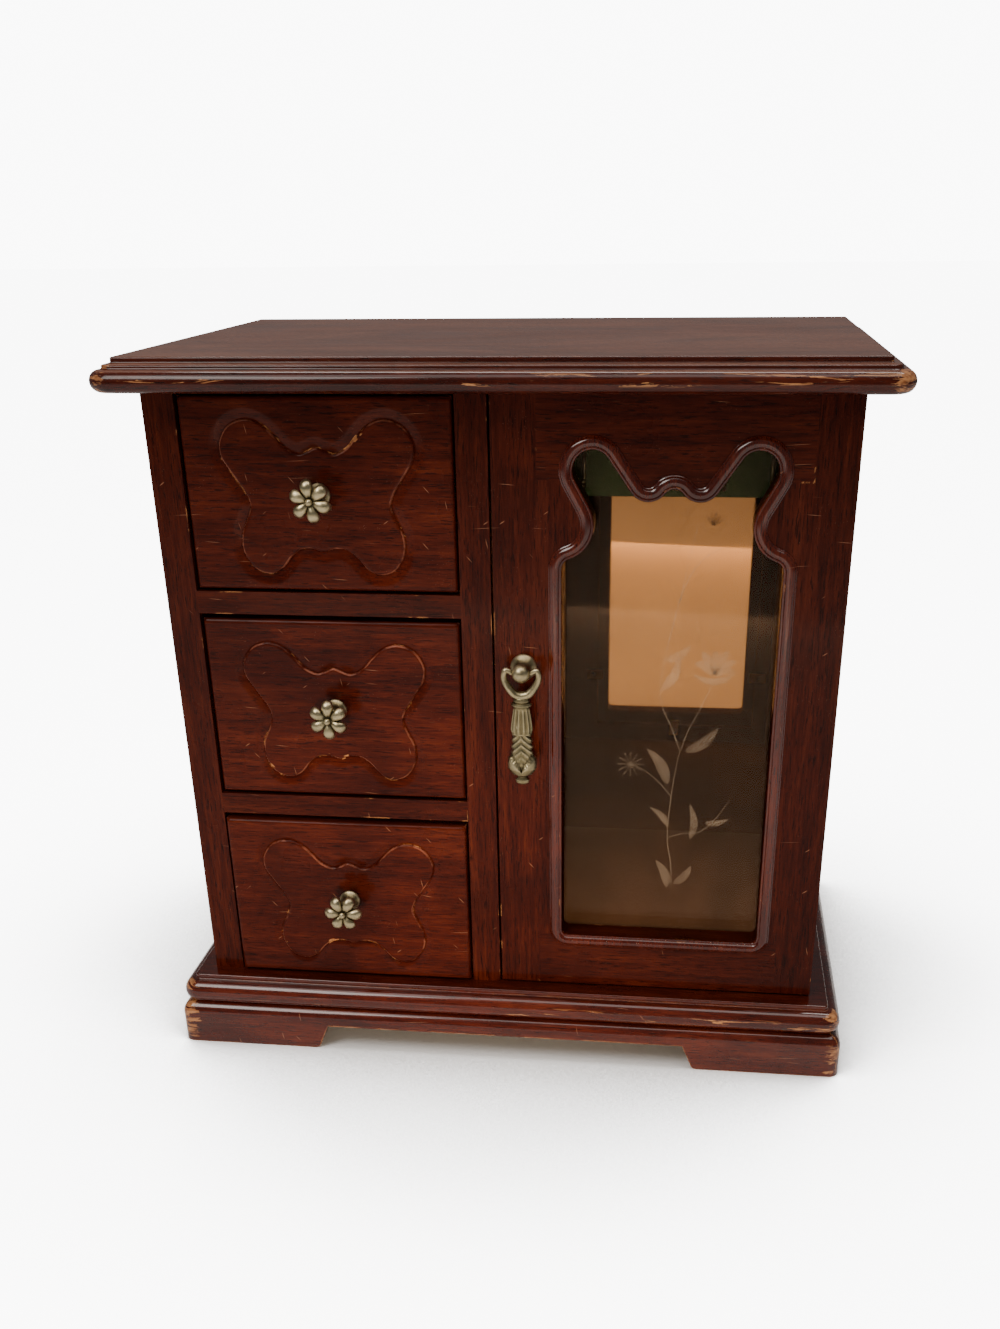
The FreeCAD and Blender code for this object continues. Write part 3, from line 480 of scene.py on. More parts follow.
def felt(name, dark, light):
    """Short glued felt, fuzzy and patchy."""
    s = Shader(name)
    fuzz = s.noise(1500, 4.0, 0.75)
    patches = s.noise(35, 4.0)
    hairs = s.noise((300, 2200, 700), 2.0, 0.6, 2.0, (0.3, 0.6, 0.8))
    colour = s.ramp(s.plus(s.times(fuzz, 0.6), s.times(patches, 0.4)),
                    (0.32, dark), (0.68, light))
    s.set(Base_Color=colour, Normal=s.bump(s.plus(fuzz, hairs), 0.0004, 0.8), Roughness=0.95)
    s.set(IOR=1.08, Specular_IOR_Level=0.1)
    s.set(Specular_Tint=(*light, 1))
    return s.material


def silver_mirror(name):
    """An old mirror, a little cloudy, warm partly from age and partly as a painted warm reflection."""
    s = Shader(name)
    haze = s.noise(28, 5.0, 0.7)
    # partly painted reflection: the orange base colour is aged silver and also stands for warm
    # surroundings seen in it
    s.set(Roughness=s.band(haze, 0.35, 0.8, 0.012, 0.06),
          Base_Color=s.ramp(haze, (0.3, (0.60, 0.265, 0.098)), (0.8, (0.53, 0.230, 0.082))))
    s.set(Metallic=1.0)
    return s.material


def window_pane(name):
    """Clear glass that reflects at a glance, with brown dust that thickens downward."""
    s = Shader(name)
    clear = s.add("ShaderNodeBsdfTransparent")
    clear.inputs["Color"].default_value = (0.93, 0.93, 0.90, 1)
    shine = s.add("ShaderNodeBsdfGlossy")
    shine.inputs["Roughness"].default_value = 0.03
    # painted reflection: the glint is tinted dim brown, as if warm surroundings were reflected in the
    # glass
    shine.inputs["Color"].default_value = (0.38, 0.26, 0.18, 1)
    fresnel = s.add("ShaderNodeFresnel")
    fresnel.inputs["IOR"].default_value = 1.45
    path = s.add("ShaderNodeLightPath")
    glint = s.times(fresnel.outputs[0], path.outputs["Is Camera Ray"])
    pane = s.blend(glint, clear, shine)

    low = s.band(s.axes(s.place)["Z"], 40 * MM, 120 * MM, 0.17, 0.015)
    haze = s.noise(24, 5.0, 0.7, 0.5)
    smears = s.noise((70, 70, 12), 4.0, 0.6, turn=(0, 0.5, 0))
    film = s.times(low, s.band(s.plus(haze, smears), 0.7, 1.3, 0.6, 1.25))
    dots = s.add("ShaderNodeTexVoronoi")
    s.put(dots.inputs["Vector"], s.mapped((190, 190, 190)))
    kept = s.add("ShaderNodeSeparateColor")
    s.put(kept.inputs[0], dots.outputs["Color"])
    grit = s.times(s.band(dots.outputs["Distance"], 0.04, 0.09, 1.0, 0.0),
                  s.math("GREATER_THAN", kept.outputs[0], 0.80))
    s.set(Base_Color=s.mix(grit, (0.150, 0.068, 0.032), (0.45, 0.30, 0.19)), Roughness=0.6)
    direct = s.math("SUBTRACT", 1.0, path.outputs["Is Glossy Ray"])
    cover = s.math("MAXIMUM", film, s.times(grit, 0.6))
    s.blend(s.times(cover, direct), pane, s.surface)
    return s.material


def frosted_etching(name):
    """Glass ground white, thin enough to see through."""
    s = Shader(name)
    clear = s.add("ShaderNodeBsdfTransparent")
    sand = s.noise(900, 3.0)
    broad = s.noise(60, 3.0)
    s.set(Base_Color=s.ramp(sand, (0.3, (0.36, 0.27, 0.19)), (0.7, (0.58, 0.44, 0.31))))
    s.set(Roughness=0.8)
    direct = s.math("SUBTRACT", 1.0, s.add("ShaderNodeLightPath").outputs["Is Glossy Ray"])
    s.blend(s.times(s.band(broad, 0.3, 0.7, 0.05, 0.115), direct), clear, s.surface)
    return s.material


# ---------------------------------------------------------------- moulded boards

def board_ring(half_width, front_y, back_y, corner, z):
    """A rectangle with rounded front corners, from the back left round to the back right."""
    corner_steps = 10
    side_steps = 6
    ring = []
    for step in range(side_steps):
        y = back_y + (front_y + corner - back_y) * step / side_steps
        ring.append(Vector((-half_width, y, z)))
    for centre_x, start in ((-half_width + corner, math.pi), (half_width - corner, 1.5 * math.pi)):
        for step in range(corner_steps + 1):
            angle = start + 0.5 * math.pi * step / corner_steps
            ring.append(Vector((centre_x + corner * math.cos(angle),
                                front_y + corner + corner * math.sin(angle), z)))
    for step in range(1, side_steps + 1):
        y = front_y + corner + (back_y - front_y - corner) * step / side_steps
        ring.append(Vector((half_width, y, z)))
    return ring


def moulded_board(name, node, profile, corner, body="carcass"):
    """A board whose moulded edge runs along its front and sides.

    profile lists (overhang, height) in mm from the top edge down to the underside.
    """
    low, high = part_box(node)
    reach = max(overhang for overhang, _ in profile)
    rings = []
    for overhang, z in profile:
        inset = (reach - overhang) * MM
        rings.append(board_ring(high.x - inset, low.y + inset, high.y,
                                max(corner * MM - inset, 0.0007), z * MM))
    count = len(rings[0])
    points = [point for ring in rings for point in ring]
    faces = []
    for level in range(len(rings) - 1):
        for side in range(count - 1):
            a = level * count + side
            faces.append((a, a + 1, a + count + 1, a + count))
    left = [level * count for level in range(len(rings))]
    right = [level * count + count - 1 for level in range(len(rings))]
    faces.append(tuple(left + right[::-1]))
    faces.append(tuple(range(count)))
    faces.append(tuple(range((len(rings) - 1) * count, len(rings) * count)))
    piece = make_object(name, points, faces, 50)
    face_outward(piece)
    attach(piece, body)
    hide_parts(node)
    return piece


def arc_profile(centre, radii, start, end, steps):
    """Points of an ellipse arc, as (overhang, height), from start to end in degrees."""
    return [(centre[0] + radii[0] * math.cos(math.radians(start + (end - start) * step / steps)),
             centre[1] + radii[1] * math.sin(math.radians(start + (end - start) * step / steps)))
            for step in range(steps + 1)]


def make_top_board(material):
    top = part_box("top_board")[1].z / MM
    profile = arc_profile((6.0, top - 0.7), (0.7, 0.7), 90, 0, 4)
    profile += [(6.7, top - 1.5)]
    profile += arc_profile((7.3, top - 1.5), (0.6, 0.6), 180, 270, 4)
    profile += [(9.0, top - 2.4)]
    profile += arc_profile((9.3, top - 3.0), (0.7, 0.6), 90, 0, 4)
    profile += [(10.0, top - 3.5)]
    profile += arc_profile((11.0, top - 7.7), (3.7, 3.7), 96, -90, 18)
    piece = moulded_board("top_board_moulded", "top_board", profile, 9)
    piece.data.materials.append(material)


def make_base_board(material):
    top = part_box("base_board")[1].z / MM
    profile = arc_profile((6.7, top - 0.6), (0.6, 0.6), 90, 0, 4)
    profile += [(7.3, top - 1.6)]
    profile += arc_profile((7.7, top - 1.7), (0.4, 0.4), 180, 250, 3)
    profile += arc_profile((8.0, top - 7.3), (4.5, 5.2), 88, 0, 12)
    profile += arc_profile((8.5, top - 7.3), (4.0, 4.2), -8, -84, 9)
    profile += [(8.0, top - 11.5)]
    piece = moulded_board("base_board_moulded", "base_board", profile, 7)
    piece.data.materials.append(material)


# ---------------------------------------------------------------- carved drawer fronts

# right half of the carved outline, in mm from the middle of the front, top centre to bottom
CARVED_HALF = [
    (0, 16.5), (3.0, 15.3), (6.8, 14.3), (11.4, 16.4), (15.2, 20.5), (19.6, 24.4), (25.2, 26.1),
    (31.3, 23.9), (34.9, 18.6), (34.8, 13.4), (32.6, 9.4), (29.8, 5.2), (27.1, 1.0), (25.8, -3.6),
    (27.6, -8.6), (29.9, -13.9), (29.9, -20.4), (26.2, -26.2), (20.6, -28.0), (16.2, -26.0),
    (12.5, -21.8), (8.9, -19.1), (5.2, -18.5), (2.4, -19.1), (0, -19.8),
]
GROOVE_DEPTH = 1.15
GROOVE_WIDTH = 4.2
FRONT_CELL = 0.36


def carved_outline():
    mirrored = [(-x, z) for x, z in CARVED_HALF[-2:0:-1]]
    return np.array(through(CARVED_HALF + mirrored, steps=10))


def signed_distance(points, outline):
    """Distance from points to a closed outline: negative inside, in the same unit."""
    start = outline
    end = np.roll(outline, -1, axis=0)
    span = end - start
    best = np.full(len(points), 1e9)
    inside = np.zeros(len(points), bool)
    for a, b, d in zip(start, end, span):
        offset = points - a
        share = np.clip((offset @ d) / max(d @ d, 1e-12), 0, 1)
        best = np.minimum(best, ((offset - share[:, None] * d) ** 2).sum(1))
        crosses = (a[1] > points[:, 1]) != (b[1] > points[:, 1])
        at = a[0] + (points[:, 1] - a[1]) * d[0] / (d[1] if abs(d[1]) > 1e-12 else 1e-12)
        inside ^= crosses & (points[:, 0] < at)
    return np.sqrt(best) * np.where(inside, -1, 1)


def grid_line(length, cell, edge_radius):
    """Positions along one side of the front: close together at the rounded edges."""
    rim = [edge_radius * (1 - math.cos(math.radians(a))) for a in (0, 18, 36, 54, 72, 90)]
    count = int((length - 2 * edge_radius) / cell)
    middle = [edge_radius + (length - 2 * edge_radius) * k / count for k in range(1, count)]
    return np.array(rim + middle + [length - value for value in rim[::-1]]) - length / 2


def make_drawer_front(name, material):
    """A front with softly rounded edges and the carved groove round a raised field."""
    low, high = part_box(f"{name}_front")
    width, height = (high.x - low.x) / MM, (high.z - low.z) / MM
    thickness = (high.y - low.y) / MM
    edge_radius = 1.5
    us = grid_line(width, FRONT_CELL, edge_radius)
    vs = grid_line(height, FRONT_CELL, edge_radius)
    grid_u, grid_v = np.meshgrid(us, vs, indexing="ij")
    flat = np.stack([grid_u.ravel(), grid_v.ravel()], 1)
    distance = signed_distance(flat, carved_outline())
    slope = np.gradient(distance.reshape(grid_u.shape), us, vs)
    slope = np.stack([part.ravel() for part in slope], 1)
    near = np.abs(distance) < FRONT_CELL * 0.5
    flat[near] -= distance[near, None] * slope[near]
    distance[near] = 0
    outside = np.clip(distance / GROOVE_WIDTH, 0, 1)
    groove = np.where(distance > 0, -GROOVE_DEPTH * (1 - outside) ** 1.5, 0.0)
    groove = np.where(distance <= 0, -0.20 * np.clip(1 + distance / 0.8, 0, 1) ** 2, groove)
    side_u = np.clip(edge_radius - (width / 2 - np.abs(flat[:, 0])), 0, edge_radius)
    side_v = np.clip(edge_radius - (height / 2 - np.abs(flat[:, 1])), 0, edge_radius)
    side = np.minimum(np.hypot(side_u, side_v), edge_radius)
    drop = edge_radius - np.sqrt(edge_radius ** 2 - side ** 2)
    relief = groove - drop
    centre_x, centre_z = (low.x + high.x) / 2, (low.z + high.z) / 2
    points = [(centre_x + u * MM, low.y - h * MM, centre_z + v * MM)
              for (u, v), h in zip(flat, relief)]
    nu, nv = len(us), len(vs)
    faces = [(i * nv + j, (i + 1) * nv + j, (i + 1) * nv + j + 1, i * nv + j + 1)
             for i in range(nu - 1) for j in range(nv - 1)]
    rim_loop = ([i * nv for i in range(nu)] + [(nu - 1) * nv + j for j in range(1, nv)]
                + [i * nv + nv - 1 for i in range(nu - 2, -1, -1)] + list(range(nv - 2, 0, -1)))
    start = len(points)
    for index in rim_loop:
        x, _, z = points[index]
        points.append((x, low.y + thickness * MM, z))
    count = len(rim_loop)
    for k in range(count):
        after = (k + 1) % count
        faces.append((rim_loop[after], rim_loop[k], start + k, start + after))
    faces.append(tuple(range(start, start + count)))
    piece = make_object(f"{name}_front_carved", points, faces, 60)
    face_outward(piece)
    # closeness to the carved outline, used by the material for a painted highlight line and chips of bare
    # wood
    rim = piece.data.attributes.new("rim", "FLOAT", "POINT")
    near_rim = np.zeros(len(points), np.float32)
    near_rim[:len(distance)] = np.exp(-(distance / 0.55) ** 2)
    rim.data.foreach_set("value", near_rim)
    piece.data.materials.append(material)
    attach(piece, name)
    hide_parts(f"{name}_front")
    return piece


# ---------------------------------------------------------------- brass fittings

def petal(angle, centre, front_y, inner, outer, width, thickness):
    """One plump teardrop petal in the XZ plane, pointing away from the centre."""
    rings = []
    levels, sides = 16, 16
    direction = Vector((math.cos(angle), 0, math.sin(angle)))
    across = Vector((-math.sin(angle), 0, math.cos(angle)))
    for level in range(levels + 1):
        t = 0.005 + 0.99 * level / levels
        along = inner + (outer - inner) * t
        if t < 0.68:
            belly = 0.34 + 0.66 * math.sin(math.pi / 2 * t / 0.68)
        else:
            belly = math.sqrt(max(1 - ((t - 0.68) / 0.32) ** 2, 0.0))
        lift = 0.35 * math.sin(math.pi * t) - 0.45 * t
        ring = []
        for step in range(sides):
            turn = 2 * math.pi * step / sides
            ring.append(Vector((centre.x, front_y, centre.z)) + direction * along
                        + across * (width * belly * math.cos(turn))
                        - Vector((0, 1, 0)) * (thickness * belly * math.sin(turn) + lift * thickness))
        rings.append(ring)
    return skin_rings(rings)


def make_knob(name, turn, material):
    low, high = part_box(f"{name}_knob")
    front_low, front_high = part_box(f"{name}_front")
    centre = Vector(((front_low.x + front_high.x) / 2, 0, (low.z + high.z) / 2))
    base_y = high.y
    tip_y = low.y
    parts = []
    for number in range(6):
        angle = math.radians(turn + 60 * number)
        parts.append(petal(angle, centre, tip_y + 2.9 * MM, 0.8 * MM, 7.8 * MM, 2.3 * MM, 1.9 * MM))
    parts.append(ball((centre.x, tip_y + 1.35 * MM, centre.z), 1.3 * MM))
    stem = [(0.0, 4.2), (0.5, 4.3), (1.1, 4.0), (1.7, 3.1), (3.5, 2.5), (6.0, 2.5), (8.5, 3.0),
            (10.2, 3.6), (11.3, 4.4), (12.0, 4.0), (12.6, 2.8)]
    parts.append(skin_rings(turned(centre, base_y, stem, 36)))
    piece = join_parts(f"{name}_flower_knob", parts, 45)
    piece.data.materials.append(material)
    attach(piece, name)
    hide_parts(f"{name}_knob")


def make_pull(material):
    """The stud on the door and the fluted pendant that swings from it."""
    joint = [item for item in frame["joints"] if item["name"] == "pull_swing"][0]
    pivot = Vector(joint["pos_m"])
    face_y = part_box("door_left_stile")[0].y
    reach = (face_y - pivot.y) / MM

    rose = [(0.0, 5.0), (0.5, 5.05), (1.1, 4.7), (2.0, 3.7), (2.8, 3.0), (4.0, 2.5), (reach, 2.4)]
    post = join_parts("pull_stud", [skin_rings(turned(pivot, face_y, rose, 32)),
                                    ball(pivot, 3.5 * MM, 32, 20)])
    post.data.materials.append(material)
    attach(post, "door")
    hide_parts("pull_post")

    # depth below the pivot, half width across, half depth, all in mm
    outline = [(8.6, 1.6, 1.2), (9.4, 2.7, 1.8), (10.4, 3.1, 2.1), (11.0, 2.9, 2.1), (11.2, 3.7, 2.7),
               (11.8, 4.0, 2.9), (12.4, 3.7, 2.7), (12.7, 3.0, 2.3),
               (15.0, 3.3, 2.4), (18.5, 3.9, 2.7), (21.5, 4.2, 2.9), (23.4, 3.8, 2.7),
               (24.4, 3.9, 2.8), (28.0, 4.2, 2.9), (31.0, 4.2, 2.9), (37.0, 4.1, 2.9),
               (39.2, 3.3, 2.5), (40.2, 1.7, 1.5), (40.8, 1.9, 1.6), (41.8, 2.7, 1.9), (42.8, 2.5, 1.8),
               (43.5, 1.6, 1.3), (43.8, 0.6, 0.5)]
    fine = []
    steps = 7
    for (d0, w0, t0), (d1, w1, t1) in zip(outline, outline[1:]):
        for step in range(steps):
            share = step / steps
            fine.append((d0 + (d1 - d0) * share, w0 + (w1 - w0) * share, t0 + (t1 - t0) * share))
    fine.append(outline[-1])
    flutes = (12.9, 23.2)
    leaves = (23.4, 37.6)
    cup = (31.6, 40.3)
    sides = 120
    rings = []
    for depth, half_width, half_depth in fine:
        ring = []
        for k in range(sides):
            a = 2 * math.pi * k / sides
            relief = 0.0
            if flutes[0] < depth < flutes[1]:
                fade = min((depth - flutes[0]) / 1.2, (flutes[1] - depth) / 1.6, 1.0)
                relief = -0.50 * fade * (0.5 + 0.5 * math.cos(12 * a)) ** 0.8
            elif leaves[0] < depth < leaves[1]:
                wave = (depth - leaves[0]) / 2.5 - abs(math.cos(a)) * 1.5
                relief = -0.55 * (abs((wave % 1.0) - 0.5) * 2) ** 1.3
            # the cup at the foot has two lobes, and its upper edge dips to a V in the middle
            edge = 37.6 - 6.0 * abs(math.cos(a)) ** 0.8
            if cup[0] < depth < cup[1] and depth > edge:
                swell = math.sin(math.pi * (depth - cup[0] + 0.8) / (cup[1] - cup[0] + 0.8)) ** 0.6
                wall = min((depth - edge) / 0.5, 1.0)
                relief += (1.45 * swell - min(relief, 0)) * wall
            ring.append(Vector((pivot.x + (half_width + relief) * MM * math.cos(a),
                                pivot.y + (half_depth + relief * 0.75) * MM * math.sin(a),
                                pivot.z - depth * MM)))
        rings.append(ring)
    parts = [skin_rings(rings)]

    # the bail: a crescent below the ball, whose horns curl in to the pins
    half_bail = [(0.0, 8.7, 1.75), (2.4, 8.0, 1.65), (4.6, 5.7, 1.45), (6.1, 3.0, 1.25),
                 (6.5, 0.9, 1.15), (6.0, -0.9, 1.15), (4.8, -0.9, 1.0), (3.4, 0.0, 0.85)]
    line = through([(x, z) for x, z, _ in half_bail], 6, closed=False)
    thick = through([(radius, 0) for _, _, radius in half_bail], 6, closed=False)
    for side in (-1, 1):
        path = [pivot + Vector((side * x, 0, -z)) * MM for x, z in line]
        parts.append(tube(path, [radius * MM for radius, _ in thick], 18))
    pendant = join_parts("pull_pendant_cast", parts, 50)
    pendant.data.materials.append(material)
    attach(pendant, "door_pull")
    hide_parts("pull_pendant")


# ---------------------------------------------------------------- window

WINDOW_AXIS = 63.3
# right half of the clear opening above the straight side: points, and between them the radius
# and turn of an arc, or None for a straight line
HEAD_POINTS = [(39.5, 203.8), (36.66, 207.7), (29.6, 225.72), (34.86, 235.1), (28.8, 245.45),
               (23.12, 242.5), (15.05, 231.04), (3.13, 230.8), (0, 232.34)]
HEAD_ARCS = [(4.1, 1), (12.5, -1), None, (6.95, 1), (6.95, 1), None, (7.4, -1), (3.94, 1)]
SILL = 54
SILL_CORNER = 2.5


def arc_points(start, end, radius, turn, steps=12):
    start, end = Vector((*start, 0)), Vector((*end, 0))
    chord = end - start
    rise = math.sqrt(max(radius ** 2 - (chord.length / 2) ** 2, 0))
    sideways = Vector((-chord.y, chord.x, 0)).normalized()
    centre = start + chord / 2 + sideways * rise * turn
    first = math.atan2(start.y - centre.y, start.x - centre.x)
    last = math.atan2(end.y - centre.y, end.x - centre.x)
    sweep = (last - first) * turn % (2 * math.pi) * turn
    return [(centre.x + radius * math.cos(first + sweep * k / steps),
             centre.y + radius * math.sin(first + sweep * k / steps)) for k in range(steps)]


def window_line():
    """The clear opening's outline, anticlockwise from the lower right."""
    half = HEAD_POINTS[0][0]
    right = arc_points((half - SILL_CORNER, SILL), (half, SILL + SILL_CORNER), SILL_CORNER, 1, 6)
    low, high = SILL + SILL_CORNER, HEAD_POINTS[0][1]
    right += [(half, low + (high - low) * k / 12) for k in range(12)]
    for start, end, arc in zip(HEAD_POINTS, HEAD_POINTS[1:], HEAD_ARCS):
        if arc:
            right += arc_points(start, end, *arc)
        else:
            right += [tuple(Vector(start).lerp(Vector(end), k / 6)) for k in range(6)]
    left = [(-x, z) for x, z in right[::-1]]
    return right + [HEAD_POINTS[-1]] + left


def offset_line(line, distance):
    """Move a closed line outward by a distance, with mitred corners."""
    count = len(line)
    moved = []
    for k, (x, z) in enumerate(line):
        before, after = line[k - 1], line[(k + 1) % count]
        a = Vector((x - before[0], z - before[1])).normalized()
        b = Vector((after[0] - x, after[1] - z)).normalized()
        normal = Vector((a.y + b.y, -a.x - b.x)).normalized()
        along = max(normal.dot(Vector((a.y, -a.x))), 0.5)
        moved.append((x + normal.x * distance / along, z + normal.y * distance / along))
    return moved


def make_bead(material):
    """The applied bead round the window: a fine inner lip, a broad round and a thin outer edge."""
    section = [(0.05, -2.0), (0.0, 0.55), (0.25, 0.85), (0.6, 0.9), (0.85, 0.85), (1.05, 1.15),
               (1.5, 1.55), (2.1, 1.77), (2.7, 1.8), (3.3, 1.65), (3.9, 1.3), (4.3, 0.85),
               (4.5, 0.6), (4.75, 0.5), (4.9, 0.3), (4.9, -0.3)]
    face_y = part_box("door_left_stile")[0].y
    outline = window_line()
    rings = []
    for distance, height in section:
        rings.append([Vector(((WINDOW_AXIS + x) * MM, face_y - height * MM, z * MM))
                      for x, z in offset_line(outline, distance)])
    rings.append([Vector(((WINDOW_AXIS + x) * MM, face_y + 0.3 * MM, z * MM))
                  for x, z in offset_line(outline, 3.0)])
    points, faces = skin_rings(rings, cap=False)
    count = len(outline)
    last = (len(rings) - 1) * count
    faces += [(last + k, last + (k + 1) % count, (k + 1) % count, k) for k in range(count)]
    piece = make_object("window_bead_moulded", points, faces, 50)
    face_outward(piece)
    piece.data.materials.append(material)
    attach(piece, "door")
    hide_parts("window_bead")


def ribbon(line, widths, y):
    """A flat strip of quads along a line in the plane of the glass."""
    points, faces = [], []
    for k, (x, z) in enumerate(line):
        before, after = line[max(k - 1, 0)], line[min(k + 1, len(line) - 1)]
        along = Vector((after[0] - before[0], after[1] - before[1])).normalized()
        width = widths(k / (len(line) - 1)) / 2
        for side in (-1, 1):
            points.append(Vector(((x - along.y * width * side) * MM, y,
                                  (z + along.x * width * side) * MM)))
    for k in range(len(line) - 1):
        faces.append((2 * k, 2 * k + 1, 2 * k + 3, 2 * k + 2))
    return points, faces


def make_etching(material):
    """The flower etched on the pane: stems, leaves, a lily and a small bud."""
    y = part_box("window_glass")[0].y - 0.03 * MM
    thin = lambda t: 0.55 * (1 - 0.5 * t)
    stems = [
        [(67.8, 72), (67.0, 84), (65.3, 95), (66.2, 113), (67.8, 126), (69, 132)],
        [(69, 132), (65.5, 141), (61.2, 151), (60.7, 161), (63.7, 178), (67.2, 194), (69.5, 206),
         (72, 218)],
        [(69, 132), (72, 141), (76.2, 150), (80.3, 160)],
        [(66.5, 190), (70, 200), (75.5, 207), (81, 210)],
        [(66.2, 113), (60, 120), (54, 124.5), (50, 126)],
        [(65.3, 95), (71, 97), (77.8, 98), (84, 104), (89.5, 113)],
    ]
    leaves = [
        ((71, 132), (83.3, 142), 4.2), ((64.5, 118), (56.2, 132.7), 4.6), ((62, 168), (71.7, 174), 3.6),
        ((66, 73), (61, 85), 3.8), ((68.7, 74.7), (75.3, 83), 3.6), ((74.5, 94.7), (73.7, 110), 3.2),
        ((60.9, 156), (67.5, 170), 4.0), ((80, 102), (89, 104), 2.6), ((65.5, 100), (58, 108), 2.8),
    ]
    parts = [ribbon(through(points, 6, closed=False), thin, y) for points in stems]
    for (x0, z0), (x1, z1), width in leaves:
        bend = Vector((z1 - z0, x0 - x1)) * 0.10
        middle = ((x0 + x1) / 2 + bend.x, (z0 + z1) / 2 + bend.y)
        line = through([(x0, z0), middle, (x1, z1)], 8, closed=False)
        parts.append(ribbon(line, lambda t, w=width: w * max(math.sin(math.pi * t ** 0.8), 0.02), y))
    lily = Vector((80.6, 163))
    for angle, length, width in ((150, 8.5, 3.4), (120, 10, 3.6), (90, 9, 3.8), (62, 10.5, 3.6),
                                 (34, 9.5, 3.4), (8, 8, 3.0)):
        tip = lily + unit(angle) * length
        middle = (lily + tip) / 2 + Vector((0, 1.0))
        line = through([tuple(lily), tuple(middle), tuple(tip)], 8, closed=False)
        plump = lambda t, w=width: w * math.sin(math.pi * min(0.12 + t * 0.87, 0.985)) ** 0.7
        parts.append(ribbon(line, plump, y))
    parts.append(ribbon([(73.2, 162.6), (77, 160.6), (81, 160.2), (85, 161.2), (88, 163.8)],
                        lambda t: 3.0 * math.sin(math.pi * (0.08 + 0.84 * t)), y))
    bud = Vector((50, 126))
    for angle in range(0, 360, 30):
        tip = bud + unit(angle) * 5.2
        parts.append(ribbon([tuple(bud), tuple((bud + tip) / 2), tuple(tip)],
                            lambda t: 0.35 + 1.1 * max(t - 0.75, 0), y))
    piece = join_parts("etched_flower", parts, outward=False)
    thicken = piece.modifiers.new("thickness", "SOLIDIFY")
    thicken.thickness = 0.02 * MM
    piece.data.materials.append(material)
    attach(piece, "door")


# ---------------------------------------------------------------- materials on the CAD nodes

def dress_nodes(nodes, material, bevel=0.0):
    """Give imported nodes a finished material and, where wanted, slightly eased edges."""
    for name in nodes:
        item = frame["nodes"][name]
        item.data.materials.clear()
        item.data.materials.append(material)
        if bevel:
            eased = item.modifiers.new("eased_edges", "BEVEL")
            eased.width = bevel * MM
            eased.segments = 3
            eased.limit_method = "ANGLE"
            eased.angle_limit = math.radians(40)
            eased.harden_normals = False


def make_materials():
    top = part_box("top_board")[1].z / MM
    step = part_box("base_board")[1].z / MM
    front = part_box("top_board")[0].y / MM
    finish = {
        "top": mahogany("mahogany_top", "x", "top", tone=0.44, wear=0.9, gloss=0.22, shine=0.45,
                        dust=0.75, nose=top - 6.6, corner=(127, front + 14)),
        "base": mahogany("mahogany_base", "x", "front", tone=0.62, wear=0.8, gloss=0.22, shine=0.95,
                         nose=step - 7.2, corner=(127, front + 16)),
        "upright": mahogany("mahogany_upright", "z", tone=0.38, wear=0.38, gloss=0.30, marked=0.35),
        "level": mahogany("mahogany_level", "x", tone=0.38, wear=0.38, gloss=0.30, marked=0.5),
        "side": mahogany("mahogany_side", "z", "side", tone=0.42, wear=0.5, gloss=0.32, marked=0.5),
        "front": mahogany("mahogany_front", "x", tone=0.48, wear=0.42, gloss=0.30, marked=0.7,
                          rim=True),
        "bead": mahogany("mahogany_bead", "z", tone=0.52, wear=0.30, gloss=0.14, shine=0.9,
                         marked=0.2),
        "raw": raw_board("raw_board", "y"),
        "raw_upright": raw_board("raw_board_upright", "z", dark_front=True),
        "brass": aged_brass("aged_brass"),
        "steel": plated_steel("plated_steel"),
        "green": felt("green_felt", (0.020, 0.040, 0.020), (0.060, 0.095, 0.045)),
        "brown": felt("brown_felt", (0.045, 0.026, 0.016), (0.115, 0.070, 0.045)),
        "mirror": silver_mirror("silver_mirror"),
        "glass": window_pane("window_pane"),
        "etching": frosted_etching("frosted_etching"),
    }
    return finish


finish = make_materials()
make_top_board(finish["top"])
make_base_board(finish["base"])
DRAWERS = {"top_drawer": 40, "middle_drawer": 30, "bottom_drawer": 0}
for drawer, knob_turn in DRAWERS.items():
    make_drawer_front(drawer, finish["front"])
    make_knob(drawer, knob_turn, finish["brass"])
    dress_nodes([f"{drawer}_{part}" for part in ("left_side", "right_side", "back", "bottom")],
                finish["raw"], 0.3)
    dress_nodes([f"{drawer}_felt"], finish["green"])
    dress_nodes([f"{drawer}_knob_screw"], finish["steel"])
make_pull(finish["brass"])
make_bead(finish["bead"])
make_etching(finish["etching"])
dress_nodes(["plinth_front", "plinth_back", "plinth_left", "plinth_right"], finish["base"], 0.9)
dress_nodes(["left_front_stile", "centre_front_stile", "door_left_stile", "door_right_stile"],
            finish["upright"], 0.35)
dress_nodes(["left_side_panel", "right_side_panel", "centre_partition"], finish["side"], 0.4)
dress_nodes(["lower_drawer_rail", "upper_drawer_rail", "door_top_rail", "door_bottom_rail"],
            finish["level"], 0.35)
dress_nodes(["floor_board", "drawer_runners"], finish["raw"], 0.3)
dress_nodes(["back_panel", "mirror_backing_board"], finish["raw_upright"], 0.3)
dress_nodes(["necklace_hooks", "glass_clips", "door_pivot_bushes"], finish["brass"])
dress_nodes(["glass_clip_screws", "catch_strike_plate", "catch_magnet", "door_pivot_pins"],
            finish["steel"])
dress_nodes(["hook_board"], finish["green"], 0.3)
dress_nodes(["compartment_felt"], finish["brown"], 0.2)
dress_nodes(["mirror"], finish["mirror"], 0.3)
dress_nodes(["window_glass"], finish["glass"])


# ---------------------------------------------------------------- stage

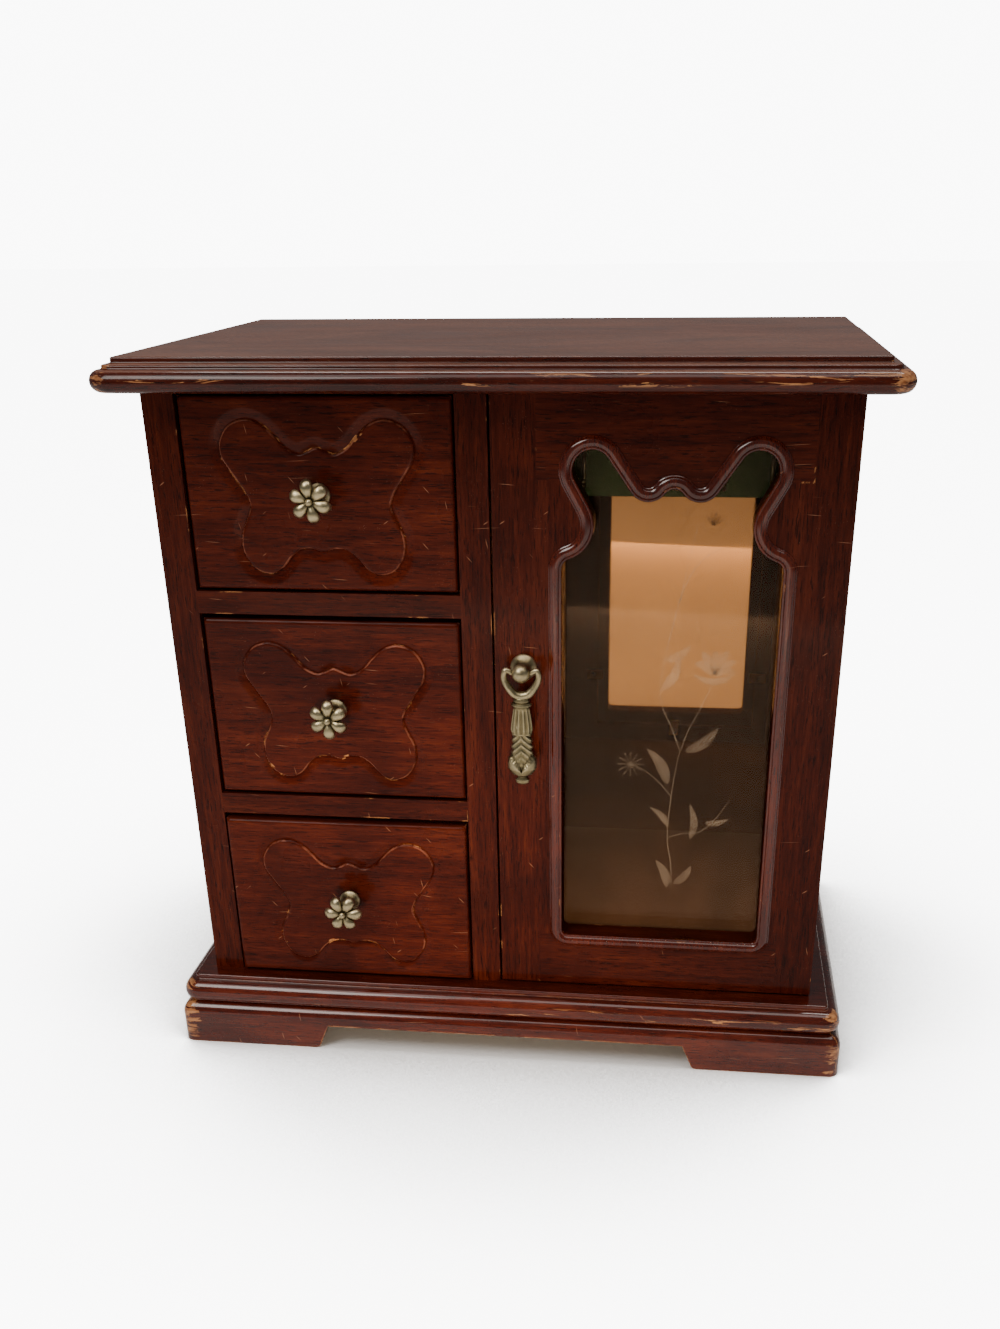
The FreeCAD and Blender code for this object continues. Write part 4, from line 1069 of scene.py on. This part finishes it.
def make_stage():
    """A pale floor that glows for the camera, with a painted soft shadow near the object,
    soft light from above and the left, low warm light in front, and the camera.
    """
    floor = make_object("floor", [Vector((x, y, 0)) for x, y in ((-9, -9), (9, -9), (9, 9), (-9, 9))],
                        [(0, 1, 2, 3)])
    s = Shader("pale_floor")
    s.set(Base_Color=s.ramp(s.noise(3, 3.0), (0.3, (0.80, 0.80, 0.80)),
                            (0.7, (0.84, 0.84, 0.84))))
    s.set(Roughness=0.7, Specular_IOR_Level=0.2)
    seen = s.add("ShaderNodeLightPath").outputs["Is Camera Ray"]
    # painted shadow: the floor's camera-only glow fades where the object is near, as a soft contact
    # shadow
    near = s.add("ShaderNodeAmbientOcclusion", samples=8)
    near.inputs["Distance"].default_value = 0.22
    glow_outside_painted_shadow = s.math("POWER", s.band(near.outputs["AO"], 0.35, 0.98), 2.5)
    s.set(Emission_Color=(1, 1, 1, 1))
    s.set(Emission_Strength=s.times(s.times(seen, glow_outside_painted_shadow), 9.0))
    floor.data.materials.append(s.material)

    world = bpy.data.worlds.new("soft_room")
    bpy.context.scene.world = world
    world.use_nodes = True
    background = world.node_tree.nodes["Background"]
    seen = world.node_tree.nodes.new("ShaderNodeLightPath").outputs["Is Camera Ray"]
    strength = world.node_tree.nodes.new("ShaderNodeMapRange")
    strength.inputs["To Min"].default_value = 0.16
    strength.inputs["To Max"].default_value = 10.0
    world.node_tree.links.new(seen, strength.inputs["Value"])
    world.node_tree.links.new(strength.outputs[0], background.inputs["Strength"])
    background.inputs["Color"].default_value = (1, 1, 1, 1)

    def aim(lamp, place, target):
        bpy.context.scene.collection.objects.link(lamp)
        lamp.location = place
        lamp.rotation_euler = (Vector(target) - Vector(place)).to_track_quat("-Z", "Y").to_euler()

    def softbox(name, place, target, size, power, colour):
        data = bpy.data.lights.new(name, "AREA")
        data.shape = "RECTANGLE"
        data.size, data.size_y = size
        data.energy = power
        data.color = colour
        lamp = bpy.data.objects.new(name, data)
        aim(lamp, place, target)
        return lamp

    softbox("key_light", (-0.60, -0.80, 1.10), (0, 0, 0.12), (0.6, 0.5), 9, (1, 0.95, 0.90))
    softbox("overhead_light", (0.1, 0.45, 1.3), (0, 0, 0.1), (1.4, 0.25), 12, (1, 0.95, 0.90))
    softbox("front_box_light", (0.05, -0.34, 1.10), (0, -0.12, 0.03), (1.3, 0.45), 6, (1, 0.93, 0.88))
    fill = softbox("low_fill_light", (0.10, -0.75, 0.05), (0, -0.08, 0.04), (0.9, 0.1), 2.0,
                   (1, 0.80, 0.60))
    fill.visible_glossy = False
    fill.visible_camera = False

    data = bpy.data.lights.new("warm_bounce_light", "SPOT")
    data.energy = 78
    data.color = (1, 0.78, 0.52)
    data.spot_size = math.radians(18)
    data.spot_blend = 1.0
    data.shadow_soft_size = 0.12
    bounce = bpy.data.objects.new("warm_bounce_light", data)
    aim(bounce, (0.05, -0.95, 0.16), (-0.01, -0.08, 0.075))
    bounce.visible_glossy = False

    data = bpy.data.cameras.new("camera")
    camera = bpy.data.objects.new("camera", data)
    bpy.context.scene.collection.objects.link(camera)
    camera.location = (0.0716, -0.5602, 0.3196)
    camera.rotation_euler = Euler([math.radians(angle) for angle in (62.82, 0.71, 6.96)])
    data.sensor_width = 36
    data.lens = 36.42
    data.shift_x = -0.020
    data.shift_y = 0.177
    bpy.context.scene.camera = camera


make_stage()
